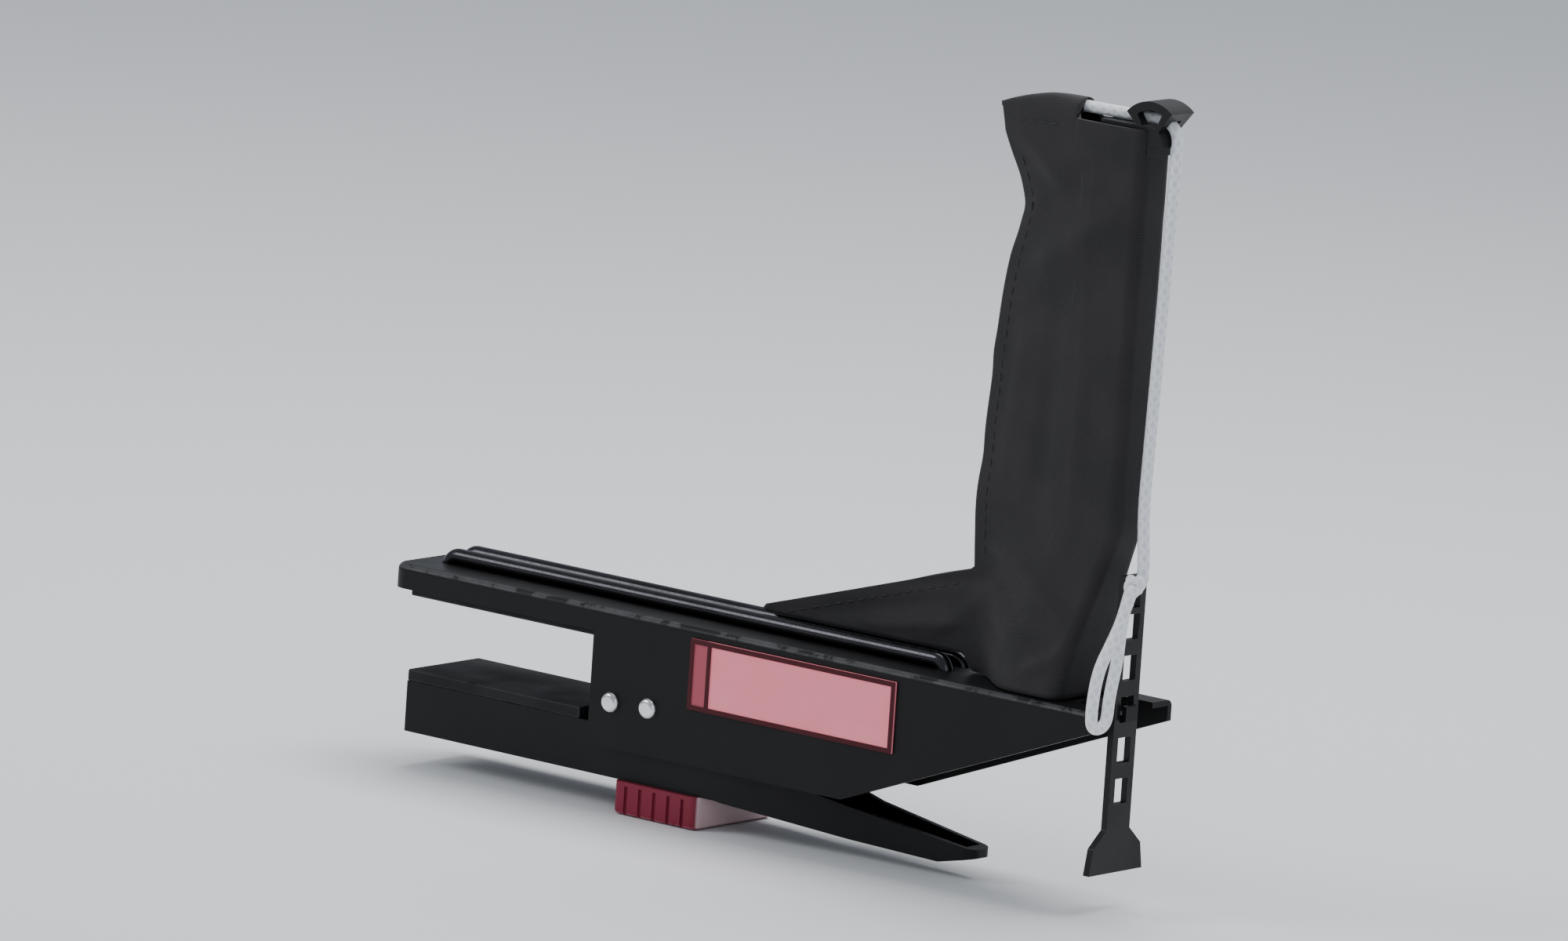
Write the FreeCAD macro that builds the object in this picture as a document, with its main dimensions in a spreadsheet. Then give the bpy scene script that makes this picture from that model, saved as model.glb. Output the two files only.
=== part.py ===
import FreeCAD, Part
import Sketcher
import os
from math import acos, atan2, cos, hypot, pi, sin, tan

# Sprung clamp that holds one end of a table tennis net.
# X runs outwards across the table's side edge, Y along the table, Z up. The origin is the middle
# of the upper seat, on the playing surface. Lengths are in millimetres. Reaches are measured from
# the table's side edge: positive outwards, and "inner" ones inwards over the table.

SIZES = {
    # Seat and board
    "seat_length": 60.0,       # both pads, inwards from the table's edge
    "board": 19.0,             # thickness of the board between the pads
    # Upper arm, pressed from sheet
    "plate": 1.5,              # sheet thickness of the arm and the lever
    "arm_overhang": 6.0,       # inwards beyond the pads
    "arm_outer": 160.0,
    "arm_top": 8.0,            # top of the web above the playing surface
    "arm_width": 32.0,
    "rim_depth": 6.3,          # flange over the table, below the web's top
    "nose_depth": 5.3,         # flange at the outer end
    "skirt_low": 27.0,         # flange outside the table, below the playing surface
    "skirt_gap": 2.0,
    "skirt_end": 84.0,         # the skirt's low edge rises from here to the nose
    "fold_radius": 1.8,
    "tip_radius": 5.0,
    # Hook that holds the ladder strap
    "notch_reach": 148.2,
    "notch_width": 16.4,
    "hook_width": 4.4,
    "hook_drop": 2.3,
    "hook_lip": 1.2,
    # Rubber pads
    "pad_play": 0.2,
    "stop_thick": 3.0,         # lip of the upper pad against the table's edge
    "stop_depth": 9.0,
    "lower_pad": 3.0,
    "pad_key": 4.0,
    # Lever
    "lever_play": 0.8,         # between the lever and the arm's flanges, each side
    "lever_low": 35.0,
    "drop_reach": 42.0,        # the handle starts to fall here
    "taper_reach": 45.0,       # and to narrow here
    "grip_reach": 80.0,
    "grip_low": 38.7,
    "grip_top": 30.6,
    "grip_width": 14.0,
    "heel_reach": 107.0,
    "heel_low": 39.8,
    "lever_end": 117.2,
    "tip_low": 37.6,
    "tip_top": 35.4,
    "tip_width": 8.0,
    "waist_reach": 30.0,
    "waist_top": 21.5,
    "ear_width": 13.0,
    "ear_height": 6.5,
    "ear_radius": 6.0,
    # Pins
    "pivot_reach": 9.0,
    "pivot_low": 15.5,
    "spring_reach": 21.2,
    "spring_low": 15.0,
    "pin_radius": 2.0,
    "pin_head": 2.7,
    "head_height": 1.4,
    "running": 0.05,           # radial clearance of what turns or slides
    "bush_radius": 3.2,
    "washer_radius": 5.0,
    "washer_play": 0.05,
    "spacer_radius": 2.8,
    # Torsion spring
    "coil_radius": 5.4,
    "wire": 2.2,
    "coil_pitch": 2.7,
    "coil_turns": 5.0,
    "leg_length": 28.0,
    "leg_gap": 0.3,
    # Moulded cover under the lever
    "cover_reach": 11.0,
    "cover_length": 27.0,
    "cover_width": 31.0,
    "cover_height": 8.3,
    "cover_wall": 3.5,
    "cover_floor": 2.0,
    "cover_radius": 2.0,
    "groove_width": 1.2,
    "groove_depth": 0.6,
    "groove_pitch": 4.6,
    "groove_count": 5.0,
    "boss_spread": 8.6,
    "boss_radius": 3.2,
    "screw_radius": 1.5,
    "screw_head": 2.6,
    "screw_sink": 1.6,
    "screw_slot": 0.7,
    "window_length": 12.0,
    "window_width": 7.0,
    # Wire rails that steady the foot of the net
    "rail_wire": 4.0,
    "rail_spread": 7.2,
    "rail_inset": 3.3,         # inner feet, from the pads' inner end
    "rail_outer": 104.6,
    "rail_bend": 3.0,
    "rail_foot": 5.4,
    "rail_play": 0.2,
    # Badges
    "badge_reach": 34.0,
    "badge_length": 65.5,
    "badge_top": 5.2,
    "badge_height": 18.0,
    "badge_thick": 0.8,
    "badge_rim": 1.3,
    "badge_sink": 0.3,
    "badge_stripe": 4.2,
    # Post
    "post_outer": 154.2,
    "post_width": 13.0,
    "post_depth": 9.0,
    "post_wall": 1.5,
    "post_corner": 1.5,
    "post_shift": 12.0,        # crank between the foot and the upright
    "post_foot": 12.0,
    "crank_low": 27.0,
    "crank_high": 52.0,
    "post_top": 143.0,
    # Socket, screw and nut of the post's height adjustment
    "socket_wall": 1.8,
    "socket_top": 23.0,
    "socket_flange": 5.5,
    "flange_thick": 2.0,
    "rivet_radius": 1.5,
    "rivet_head": 2.4,
    "rivet_height": 1.0,
    "thread_radius": 2.5,
    "height_head": 4.2,
    "height_head_thick": 2.6,
    "height_slot": 1.0,
    "height_screw_top": 25.0,
    "clip_radius": 4.3,
    "clip_thick": 0.8,
    "nut_low": 13.0,
    "nut_thick": 6.0,
    # Head of the post
    "cord": 3.0,
    "cord_rise": 9.2,          # from the post's top to the cord's centre line
    "bend_radius": 5.4,        # where the cord turns down over the head
    "bend_stand": 2.0,         # middle of that bend, beyond the post's outer face
    "plug_depth": 9.0,
    "arch_radius": 10.0,
    "arch_width": 8.8,
    "arch_start": 50.0,        # degrees above the horizontal
    "arch_end": 138.0,
    "arch_bridge": 2.2,        # what the side windows leave over the cord
    "arch_leg": 15.0,          # degrees of each leg
    "arch_sill": 0.6,          # foot of the windows, above the saddle
    "cord_play": 0.35,
    "nose_skirt": 1.0,
    "cross_pin": 1.25,
    # Fabric sleeve
    "cloth": 1.2,
    "cloth_play": 0.3,
    "seam_width": 9.0,         # both layers sewn together at the inner edge
    "hem_cover": 0.7,          # cloth over the cord in the hem
    "sleeve_low": 8.4,
    "sleeve_rise": 7.3,        # from the post's top
    "hem_inner": 116.0,
    "hem_outer": 132.0,
    "hem_rise": 5.6,           # from the post's top
    "gusset_inner": 44.0,
    "gusset_fold": 108.8,
    "gusset_outer": 114.0,
    "gusset_tip": 14.0,
    "gusset_top": 33.8,
    "gusset_thick": 2.4,
    # Ladder strap
    "strap_reach": 156.5,
    "strap_thick": 2.0,
    "strap_width": 9.0,
    "strap_top": 40.2,
    "strap_low": 33.7,
    "tab_width": 21.0,
    "tab_upper": 18.6,         # width at the tab's shoulders
    "tab_shoulder": 6.6,
    "tab_height": 10.8,
    "hole_width": 5.0,
    "hole_height": 6.3,
    "hole_pitch": 10.2,
    "hole_count": 5.0,
    "eye_width": 4.4,
    "eye_height": 6.4,
    "hook_play": 0.35,
    "eye_level": 35.3,
    "knot_radius": 2.6,
    "knot_rise": 3.3,          # above the middle of the eye
    "knot_side": 4.2,          # towards the near side, as the tail pulls it
    "cord_start": 33.7,        # inside the hem, from the post's outer face
    "tail_spread": 6.9,        # between the two strands near the foot of the tail's loop
}


class Size:
    """A length as an expression on the sheet and as its present value."""

    def __init__(self, text, value):
        self.text = text
        self.value = value

    def __add__(self, other):
        other = as_size(other)
        return Size(f"({self.text} + {other.text})", self.value + other.value)

    def __sub__(self, other):
        other = as_size(other)
        return Size(f"({self.text} - {other.text})", self.value - other.value)

    def __mul__(self, factor):
        factor = as_size(factor)
        return Size(f"({self.text} * {factor.text})", self.value * factor.value)

    def __truediv__(self, divisor):
        divisor = as_size(divisor)
        return Size(f"({self.text} / {divisor.text})", self.value / divisor.value)

    def __neg__(self):
        return Size(f"(0 - {self.text})", -self.value)


def as_size(thing):
    """A bare number as a Size, so that it can stand in a sum."""
    return thing if isinstance(thing, Size) else Size(repr(float(thing)), float(thing))


class Sheet:
    """The driving dimensions, kept in a spreadsheet and read back by name."""

    def __init__(self, document, sizes):
        self._sheet = document.addObject("Spreadsheet::Sheet", "Sizes")
        for row, (name, value) in enumerate(sizes.items(), start=1):
            self._sheet.set(f"A{row}", name)
            self._sheet.set(f"B{row}", str(value))
            self._sheet.setAlias(f"B{row}", name)
        document.recompute()

    def __getattr__(self, name):
        return Size(f"Sizes.{name}", float(self._sheet.get(name)))


doc = FreeCAD.newDocument("net_clamp")
dim = Sheet(doc, SIZES)
NODES = []
SAME = 1e-3                    # two coordinates closer than this are the same
SPRING_SAMPLES = 400           # steps along the coil when its least gap is measured


def node(thing, label):
    """Keep a sub-part under its own label, which also names its file."""
    thing.Label = label
    NODES.append(thing)
    return thing


def vector(x, y, z):
    """A vector from numbers or sizes."""
    return FreeCAD.Vector(as_size(x).value, as_size(y).value, as_size(z).value)


def reach(distance):
    """X of a place that lies this far outside the table's side edge."""
    return dim.seat_length / 2 + distance


# Sketches and features

def origin_plane(body, role):
    return next(feature for feature in body.Origin.OriginFeatures if feature.Role == role)


def new_body(name):
    return doc.addObject("PartDesign::Body", name)


def new_sketch(body, role, offset=None):
    """A sketch on one of the body's own planes, moved along the plane's normal by offset."""
    sketch = body.newObject("Sketcher::SketchObject", body.Name + "_sketch")
    sketch.AttachmentSupport = [(origin_plane(body, role), "")]
    sketch.MapMode = "FlatFace"
    if offset is not None:
        sketch.setExpression("AttachmentOffset.Base.z", offset.text)
    return sketch


def tie_point(sketch, line, end, corner):
    """Hold one point of a sketch at a corner given by two sizes."""
    for axis, size in zip(("DistanceX", "DistanceY"), corner):
        size = as_size(size)
        index = sketch.addConstraint(Sketcher.Constraint(axis, -1, 1, line, end, size.value))
        sketch.setExpression(f"Constraints[{index}]", size.text)


def draw_outline(sketch, corners):
    """Close a polygon through the corners."""
    first = sketch.GeometryCount
    count = len(corners)
    for index, corner in enumerate(corners):
        following = corners[(index + 1) % count]
        line = Part.LineSegment(vector(*corner, 0), vector(*following, 0))
        sketch.addGeometry(line, False)
    for index, corner in enumerate(corners):
        line = first + index
        following = first + (index + 1) % count
        sketch.addConstraint(Sketcher.Constraint("Coincident", line, 2, following, 1))
        tie_point(sketch, line, 1, corner)


def draw_circle(sketch, centre, radius):
    radius = as_size(radius)
    circle = Part.Circle(vector(*centre, 0), FreeCAD.Vector(0, 0, 1), radius.value)
    index = sketch.addGeometry(circle, False)
    tie_point(sketch, index, 3, centre)
    held = sketch.addConstraint(Sketcher.Constraint("Radius", index, radius.value))
    sketch.setExpression(f"Constraints[{held}]", radius.text)


def rectangle(low_u, low_v, high_u, high_v):
    return [(low_u, low_v), (high_u, low_v), (high_u, high_v), (low_u, high_v)]


def pad(body, sketch, length, midplane=True, reverse=False):
    feature = body.newObject("PartDesign::Pad", body.Name + "_pad")
    feature.Profile = sketch
    feature.Midplane = midplane
    feature.Reversed = reverse
    feature.setExpression("Length", as_size(length).text)
    doc.recompute()
    return feature


def pocket(body, sketch, length, midplane=True, reverse=False):
    """Cut a sketch out of the body, and make sure that something was cut."""
    before = body.Shape.Volume
    feature = body.newObject("PartDesign::Pocket", body.Name + "_pocket")
    feature.Profile = sketch
    feature.Midplane = midplane
    feature.Reversed = reverse
    feature.setExpression("Length", as_size(length).text)
    doc.recompute()
    if not body.Shape.Volume < before - 1e-6:
        raise RuntimeError(f"{feature.Name} cuts nothing")
    return feature


def revolve(body, sketch):
    """Turn a sketch round its own vertical axis."""
    feature = body.newObject("PartDesign::Revolution", body.Name + "_turned")
    feature.Profile = sketch
    feature.ReferenceAxis = (sketch, ["V_Axis"])
    feature.Angle = 360
    doc.recompute()
    return feature


def pattern(body, feature, axis, spacing, count):
    """Repeat a feature along one of its sketch's axes."""
    repeated = body.newObject("PartDesign::LinearPattern", body.Name + "_pattern")
    repeated.Originals = [feature]
    repeated.Direction = (feature.Profile[0], [axis])
    repeated.setExpression("Length", (spacing * (count - 1)).text)
    repeated.setExpression("Occurrences", count.text)
    body.Tip = repeated
    doc.recompute()
    return repeated


def edges_at(body, x=None, y=None, z=None):
    """Names of the body's straight edges whose ends share the given coordinates."""
    given = {axis: value for axis, value in zip("xyz", (x, y, z)) if value is not None}
    wanted = [(axis, as_size(value).value) for axis, value in given.items()]
    names = []
    for index, edge in enumerate(body.Tip.Shape.Edges, start=1):
        ends = [vertex.Point for vertex in edge.Vertexes]
        held = all(abs(getattr(end, axis) - value) < SAME for end in ends for axis, value in wanted)
        if held and len(ends) == 2:
            names.append(f"Edge{index}")
    return names


def fillet(body, names, radius):
    if not names:
        raise RuntimeError(f"{body.Name} has no such edge to round")
    base = body.Tip
    feature = body.newObject("PartDesign::Fillet", body.Name + "_fillet")
    feature.Base = (base, names)
    feature.setExpression("Radius", as_size(radius).text)
    doc.recompute()
    if "Invalid" in feature.State:
        raise RuntimeError(f"{feature.Name} fails")
    return feature


def place(thing, x=0, y=0, z=0):
    """Bind a sub-part's position to the sheet."""
    for axis, size in zip("xyz", (x, y, z)):
        thing.setExpression(f"Placement.Base.{axis}", as_size(size).text)
    return thing


def turned(name, role, corners, x=0, y=0, z=0):
    """A turned piece: radius across, height along the turning axis."""
    body = new_body(name)
    sketch = new_sketch(body, role)
    draw_outline(sketch, corners)
    revolve(body, sketch)
    return place(body, x, y, z)


def pair(name, first, second):
    """Two like pieces kept as one node of separate solids."""
    group = doc.addObject("Part::Compound", name)
    group.Links = [first, second]
    doc.recompute()
    return node(group, name)


def shaped(name, shape):
    """A piece whose shape is worked out by the functions below."""
    feature = doc.addObject("Part::Feature", name)
    feature.Shape = shape
    return node(feature, name)


# Primitives and booleans

def box(name, low, high):
    """A Part box between two corners given as sizes."""
    solid = doc.addObject("Part::Box", name)
    for prop, first, last in zip(("Length", "Width", "Height"), low, high):
        solid.setExpression(prop, (as_size(last) - first).text)
    return place(solid, *low)


def sector(name, radius, start, end, width, x, z):
    """A slice of a disc across the clamp, from one angle above the horizontal to another."""
    solid = doc.addObject("Part::Cylinder", name)
    solid.setExpression("Radius", as_size(radius).text)
    solid.setExpression("Height", as_size(width).text)
    solid.setExpression("Angle", (as_size(end) - start).text)
    place(solid, x, as_size(width) / 2, z)
    turn = FreeCAD.Rotation(FreeCAD.Vector(1, 0, 0), 90)
    spin = FreeCAD.Rotation(FreeCAD.Vector(0, 0, 1), as_size(start).value)
    solid.Placement = FreeCAD.Placement(solid.Placement.Base, turn.multiply(spin))
    return solid


def fuse(name, solids):
    fused = doc.addObject("Part::MultiFuse", name)
    fused.Shapes = solids
    return fused


def cut(name, base, tool):
    left = doc.addObject("Part::Cut", name)
    left.Base = base
    left.Tool = tool
    return left


# Swept rods and cords

def tangent_path(points, radii):
    """Straight runs through the points, with an arc of the given radius at each inner one."""
    edges = []
    start = points[0]
    for before, corner, after, radius in zip(points, points[1:], points[2:], radii):
        inward = (corner - before).normalize()
        outward = (after - corner).normalize()
        half_turn = acos(max(-1.0, min(1.0, inward.dot(outward)))) / 2
        cut = radius * tan(half_turn)
        arc_start = corner - inward * cut
        arc_end = corner + outward * cut
        bisector = (outward - inward).normalize()
        middle = corner + bisector * (radius / cos(half_turn) - radius)
        if (arc_start - start).Length > 1e-6:
            edges.append(Part.LineSegment(start, arc_start).toShape())
        edges.append(Part.Arc(arc_start, middle, arc_end).toShape())
        start = arc_end
    edges.append(Part.LineSegment(start, points[-1]).toShape())
    return edges


def route_radii(points):
    """The largest arcs that the runs on both sides of each inner point allow."""
    radii = []
    for before, corner, after in zip(points, points[1:], points[2:]):
        inward = corner - before
        outward = after - corner
        shorter = min(inward.Length, outward.Length)
        turn = inward.getAngle(outward)
        radii.append(0.45 * shorter / tan(turn / 2))
    return radii


def swept(edges, diameter):
    """A round rod along a tangent path."""
    wire = Part.Wire(edges)
    start = edges[0].valueAt(edges[0].FirstParameter)
    heading = edges[0].tangentAt(edges[0].FirstParameter)
    profile = Part.Wire([Part.Circle(start, heading, diameter / 2).toShape()])
    shell = Part.BRepOffsetAPI.MakePipeShell(wire)
    shell.add(profile)
    shell.build()
    shell.makeSolid()
    return shell.shape()


def report_sweep(name, shape, edges, diameter, radii):
    """Print a swept piece's volume against section times length, and its bend radii."""
    length = sum(edge.Length for edge in edges)
    ideal = pi * diameter ** 2 / 4 * length
    listed = ", ".join(f"{radius:.1f}" for radius in radii)
    print(f"{name}: length {length:.1f}, volume ratio {shape.Volume / ideal:.4f}, radii {listed}")


# Places that several parts share

def pad_end():
    """X of the pads' inner end."""
    return reach(-dim.seat_length)


def rail_feet():
    """X of the rails' inner and outer feet."""
    return pad_end() + dim.rail_inset, reach(dim.rail_outer)


def cord_level():
    """Height of the cord's centre line over the head."""
    return dim.post_top + dim.cord_rise


def foot_centre():
    """X of the middle of the post's foot."""
    return reach(dim.post_outer - dim.post_shift) - dim.post_width / 2


def socket_inner():
    """X of the socket's inner face."""
    return foot_centre() - dim.post_width / 2 - dim.running - dim.socket_wall


def socket_rivet_places():
    """Rivets through the socket's flange, on its inner side."""
    x = socket_inner() - dim.socket_flange / 2
    y = dim.post_depth / 2
    return [(x, -y), (x, y)]


# Upper arm

def make_upper_arm():
    body = new_body("upper_arm")
    top = dim.arm_top
    low_rim = top - dim.rim_depth
    inner = pad_end() - dim.arm_overhang
    outer = reach(dim.arm_outer)
    skirt = reach(dim.skirt_gap)
    outline = new_sketch(body, "XZ_Plane")
    draw_outline(outline, [
        (inner, top),
        (outer, top),
        (outer, top - dim.nose_depth),
        (reach(dim.skirt_end), -dim.skirt_low),
        (skirt, -dim.skirt_low),
        (skirt, low_rim),
        (inner, low_rim),
    ])
    pad(body, outline, dim.arm_width)
    fillet(body, edges_at(body, x=skirt, z=-dim.skirt_low), dim.tip_radius)
    half = dim.arm_width / 2
    corners = edges_at(body, x=inner, y=half) + edges_at(body, x=inner, y=-half)
    fillet(body, corners, dim.tip_radius)
    folds = edges_at(body, y=half, z=top) + edges_at(body, y=-half, z=top)
    fillet(body, folds, dim.fold_radius)

    hollow = new_sketch(body, "XZ_Plane")
    draw_outline(hollow, rectangle(inner - 1, -dim.skirt_low - 1, outer + 1, top - dim.plate))
    pocket(body, hollow, dim.arm_width - dim.plate * 2)

    notch = new_sketch(body, "XY_Plane", top + 1)
    half_notch = dim.notch_width / 2
    draw_outline(notch, rectangle(reach(dim.notch_reach), -half_notch, outer + 1, half_notch))
    pocket(body, notch, dim.plate + 2, midplane=False)

    hook = new_sketch(body, "XZ_Plane")
    root = reach(dim.notch_reach)
    ramp = dim.hook_drop
    tongue_top = top - dim.hook_drop
    draw_outline(hook, [
        (root - 1, top),
        (root + 1, top),
        (root + 1 + ramp, tongue_top),
        (outer - dim.hook_lip, tongue_top),
        (outer - dim.hook_lip, top),
        (outer, top),
        (outer, tongue_top - dim.plate),
        (root + ramp, tongue_top - dim.plate),
        (root, top - dim.plate),
        (root - 1, top - dim.plate),
    ])
    pad(body, hook, dim.hook_width)

    drill = new_sketch(body, "XZ_Plane")
    for where, depth in ((dim.pivot_reach, dim.pivot_low), (dim.spring_reach, dim.spring_low)):
        draw_circle(drill, (reach(where), -depth), dim.pin_radius)
    pocket(body, drill, dim.arm_width + 2)

    holes = new_sketch(body, "XY_Plane", top + 1)
    for foot in rail_feet():
        for side in (-1, 1):
            centre = (foot, dim.rail_spread / 2 * side)
            draw_circle(holes, centre, dim.rail_wire / 2 + dim.rail_play)
    draw_circle(holes, (foot_centre(), 0), dim.thread_radius + dim.running)
    for x, y in socket_rivet_places():
        draw_circle(holes, (x, y), dim.rivet_radius)
    pocket(body, holes, dim.plate + 2, midplane=False)
    node(body, "upper_arm")


# Rubber pads

def make_upper_pad():
    body = new_body("upper_pad")
    inner = pad_end()
    stop = reach(dim.stop_thick)
    under_web = dim.arm_top - dim.plate
    outline = new_sketch(body, "XZ_Plane")
    draw_outline(outline, rectangle(inner, Size("0", 0.0), stop, under_web))
    inside = dim.arm_width - dim.plate * 2
    pad(body, outline, inside - dim.pad_play * 2)
    lip = new_sketch(body, "XZ_Plane")
    draw_outline(lip, rectangle(reach(as_size(0)), -dim.stop_depth, stop, Size("1", 1.0)))
    pad(body, lip, lever_inside() - dim.pad_play * 3)
    pockets = new_sketch(body, "XY_Plane", under_web + 1)
    for side in (-1, 1):
        centre = (rail_feet()[0], dim.rail_spread / 2 * side)
        draw_circle(pockets, centre, dim.rail_wire / 2 + dim.pad_play)
    pocket(body, pockets, under_web - dim.rail_foot + 1 + dim.pad_play, midplane=False)
    node(body, "upper_pad")


def make_lower_pad():
    body = new_body("lower_pad")
    inner = pad_end()
    outer = reach(-dim.stop_thick)
    seat = -dim.board - dim.lower_pad
    plate = new_sketch(body, "XZ_Plane")
    draw_outline(plate, rectangle(inner, seat, outer, -dim.board))
    pad(body, plate, lever_width())
    key = new_sketch(body, "XZ_Plane")
    draw_outline(key, rectangle(inner, seat - dim.pad_key, outer, seat))
    pad(body, key, lever_inside() - dim.pad_play * 2)
    node(body, "lower_pad")


# Lever

def lever_width():
    return dim.arm_width - dim.plate * 2 - dim.lever_play * 2


def lever_inside():
    return lever_width() - dim.plate * 2


def taper_corners(side, inset):
    """Plan of what the tapered handle leaves outside it, on one side."""
    full = (lever_width() / 2 - inset) * side
    grip = (dim.grip_width / 2 - inset) * side
    tip = (dim.tip_width / 2 - inset) * side
    end = reach(dim.lever_end)
    beyond = lever_width() * side
    return [
        (reach(dim.taper_reach), full),
        (reach(dim.grip_reach), grip),
        (end, tip),
        (end + 2, tip),
        (end + 2, beyond),
        (reach(dim.taper_reach), beyond),
    ]


def lever_bottom(lift):
    """Lower edge of the lever, raised by the given height, as far as its heel."""
    lift = as_size(lift)
    return [
        (reach(dim.drop_reach), lift - dim.lever_low),
        (reach(dim.grip_reach), lift - dim.grip_low),
        (reach(dim.heel_reach), lift - dim.heel_low),
    ]


def taper(body, inset):
    plan = new_sketch(body, "XY_Plane")
    draw_outline(plan, taper_corners(-1, inset))
    draw_outline(plan, taper_corners(1, inset))
    pocket(body, plan, dim.lever_end)


def make_lever():
    body = new_body("lever_outside")
    inner = pad_end()
    jaw_top = -dim.board - dim.lower_pad
    ear_low = reach(dim.pivot_reach - dim.ear_width / 2)
    ear_high = reach(dim.pivot_reach + dim.ear_width / 2)
    ear_top = dim.ear_height - dim.pivot_low
    tip = reach(dim.lever_end)
    outline = new_sketch(body, "XZ_Plane")
    draw_outline(outline, [(inner, -dim.lever_low)] + lever_bottom(as_size(0)) + [
        (tip, -dim.tip_low),
        (tip, -dim.tip_top),
        (reach(dim.grip_reach), -dim.grip_top),
        (reach(dim.waist_reach), -dim.waist_top),
        (ear_high, -dim.waist_top),
        (ear_high, ear_top),
        (ear_low, ear_top),
        (ear_low, jaw_top),
        (inner, jaw_top),
    ])
    pad(body, outline, lever_width())
    ears = edges_at(body, x=ear_high, z=ear_top) + edges_at(body, x=ear_low, z=ear_top)
    fillet(body, ears, dim.ear_radius)
    taper(body, as_size(0))
    half = dim.tip_width / 2
    fillet(body, edges_at(body, x=tip, y=half) + edges_at(body, x=tip, y=-half), half * 0.8)

    drill = new_sketch(body, "XZ_Plane")
    draw_circle(drill, (reach(dim.pivot_reach), -dim.pivot_low), dim.pin_radius + dim.running)
    pocket(body, drill, dim.arm_width)
    window = new_sketch(body, "XY_Plane", dim.plate - dim.lever_low + 1)
    middle = cover_centre()
    half_length = dim.window_length / 2
    half_width = dim.window_width / 2
    draw_outline(window, rectangle(middle - half_length, -half_width, middle + half_length, half_width))
    for side in (-1, 1):
        draw_circle(window, (middle, dim.boss_spread * side), dim.screw_radius)
    pocket(body, window, dim.plate + 2, midplane=False)

    hollow = new_body("lever_inside")
    room = new_sketch(hollow, "XZ_Plane")
    end = tip - dim.plate * 2
    draw_outline(room, [(inner - 1, dim.plate - dim.lever_low)] + lever_bottom(dim.plate) + [
        (end, dim.plate - dim.tip_low),
        (end, dim.plate),
        (inner - 1, dim.plate),
    ])
    pad(hollow, room, lever_inside())
    taper(hollow, dim.plate)
    lever = cut("lever", body, hollow)
    doc.recompute()
    node(lever, "lever")


# Pins, bush, washers and spacers

def make_pin(name, x, z):
    """A rivet across both flanges, with a domed head at each end."""
    half = dim.arm_width / 2
    body = turned(name, "XY_Plane", [
        (Size("0", 0.0), -half - dim.head_height),
        (dim.pin_head, -half - dim.head_height),
        (dim.pin_head, -half),
        (dim.pin_radius, -half),
        (dim.pin_radius, half),
        (dim.pin_head, half),
        (dim.pin_head, half + dim.head_height),
        (Size("0", 0.0), half + dim.head_height),
    ], x, 0, z)
    rims = []
    for index, edge in enumerate(body.Tip.Shape.Edges, start=1):
        ring = edge.Curve
        round_rim = hasattr(ring, "Radius") and abs(ring.Radius - dim.pin_head.value) < SAME
        outer_rim = abs(abs(edge.CenterOfMass.y) - (half + dim.head_height).value) < SAME
        if round_rim and outer_rim:
            rims.append(f"Edge{index}")
    fillet(body, rims, dim.head_height * 0.9)
    return node(body, name)


def ring(name, hole, rim, low, high, x, z):
    """A washer, bush or spacer on a pin across the clamp."""
    return turned(name, "XY_Plane", rectangle(hole, low, rim, high), x, 0, z)


def make_pivot():
    x = reach(dim.pivot_reach)
    z = -dim.pivot_low
    make_pin("pivot_pin", x, z)
    hole = dim.pin_radius + dim.running
    half = lever_inside() / 2 - dim.washer_play
    node(ring("pivot_bush", hole, dim.bush_radius, -half, half, x, z), "pivot_bush")
    low = lever_width() / 2 + dim.washer_play
    high = dim.arm_width / 2 - dim.plate - dim.washer_play
    front = ring("front_washer", hole, dim.washer_radius, -high, -low, x, z)
    rear = ring("rear_washer", hole, dim.washer_radius, low, high, x, z)
    pair("pivot_washers", front, rear)


def make_spring_seat():
    x = reach(dim.spring_reach)
    z = -dim.spring_low
    make_pin("spring_pin", x, z)
    hole = dim.pin_radius + dim.running
    low = coil_length() / 2 + dim.wire
    high = dim.arm_width / 2 - dim.plate - dim.washer_play
    front = ring("front_spacer", hole, dim.spacer_radius, -high, -low, x, z)
    rear = ring("rear_spacer", hole, dim.spacer_radius, low, high, x, z)
    pair("spring_spacers", front, rear)


# Torsion spring

def leg_slope(rise):
    """Slope of a straight leg that leaves the coil and ends this far above or below its axis."""
    radius = dim.coil_radius.value
    length = dim.leg_length.value
    return atan2(length, radius) - acos(rise / hypot(radius, length))


def coil_sweep():
    """Start and end angles of the coil: it winds clockwise from the lower leg to the upper one."""
    lower_rise = (dim.lever_low - dim.plate - dim.wire / 2 - dim.leg_gap - dim.spring_low).value
    upper_rise = (dim.arm_top - dim.plate - dim.wire / 2 - dim.leg_gap + dim.spring_low).value
    start = -pi / 2 - leg_slope(lower_rise)
    end = pi / 2 + leg_slope(upper_rise)
    turn = (start - end) % (2 * pi) + 2 * pi * dim.coil_turns.value
    return start, turn


def coil_length():
    """Length of the coil along its axis, between wire centres."""
    turn = coil_sweep()[1]
    return Size(repr(turn / (2 * pi)), turn / (2 * pi)) * dim.coil_pitch


def biarc(start, start_heading, end, end_heading):
    """Two tangent arcs between two points with given headings."""
    gap = end - start
    both = start_heading + end_heading
    spread = 2 * (1 - start_heading.dot(end_heading))
    along = gap.dot(both)
    reach_out = (-along + (along ** 2 + spread * gap.dot(gap)) ** 0.5) / spread
    joint = (start + end + (start_heading - end_heading) * reach_out) / 2
    arcs = []
    for first, heading, last in ((start, start_heading, joint), (end, -end_heading, joint)):
        middle = (first + last) / 2
        apex = first + heading * reach_out
        cosine = (last - first).Length / 2 / reach_out
        arcs.append(Part.Arc(first, middle + (apex - middle) * (cosine / (1 + cosine)), last).toShape())
    return arcs


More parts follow.
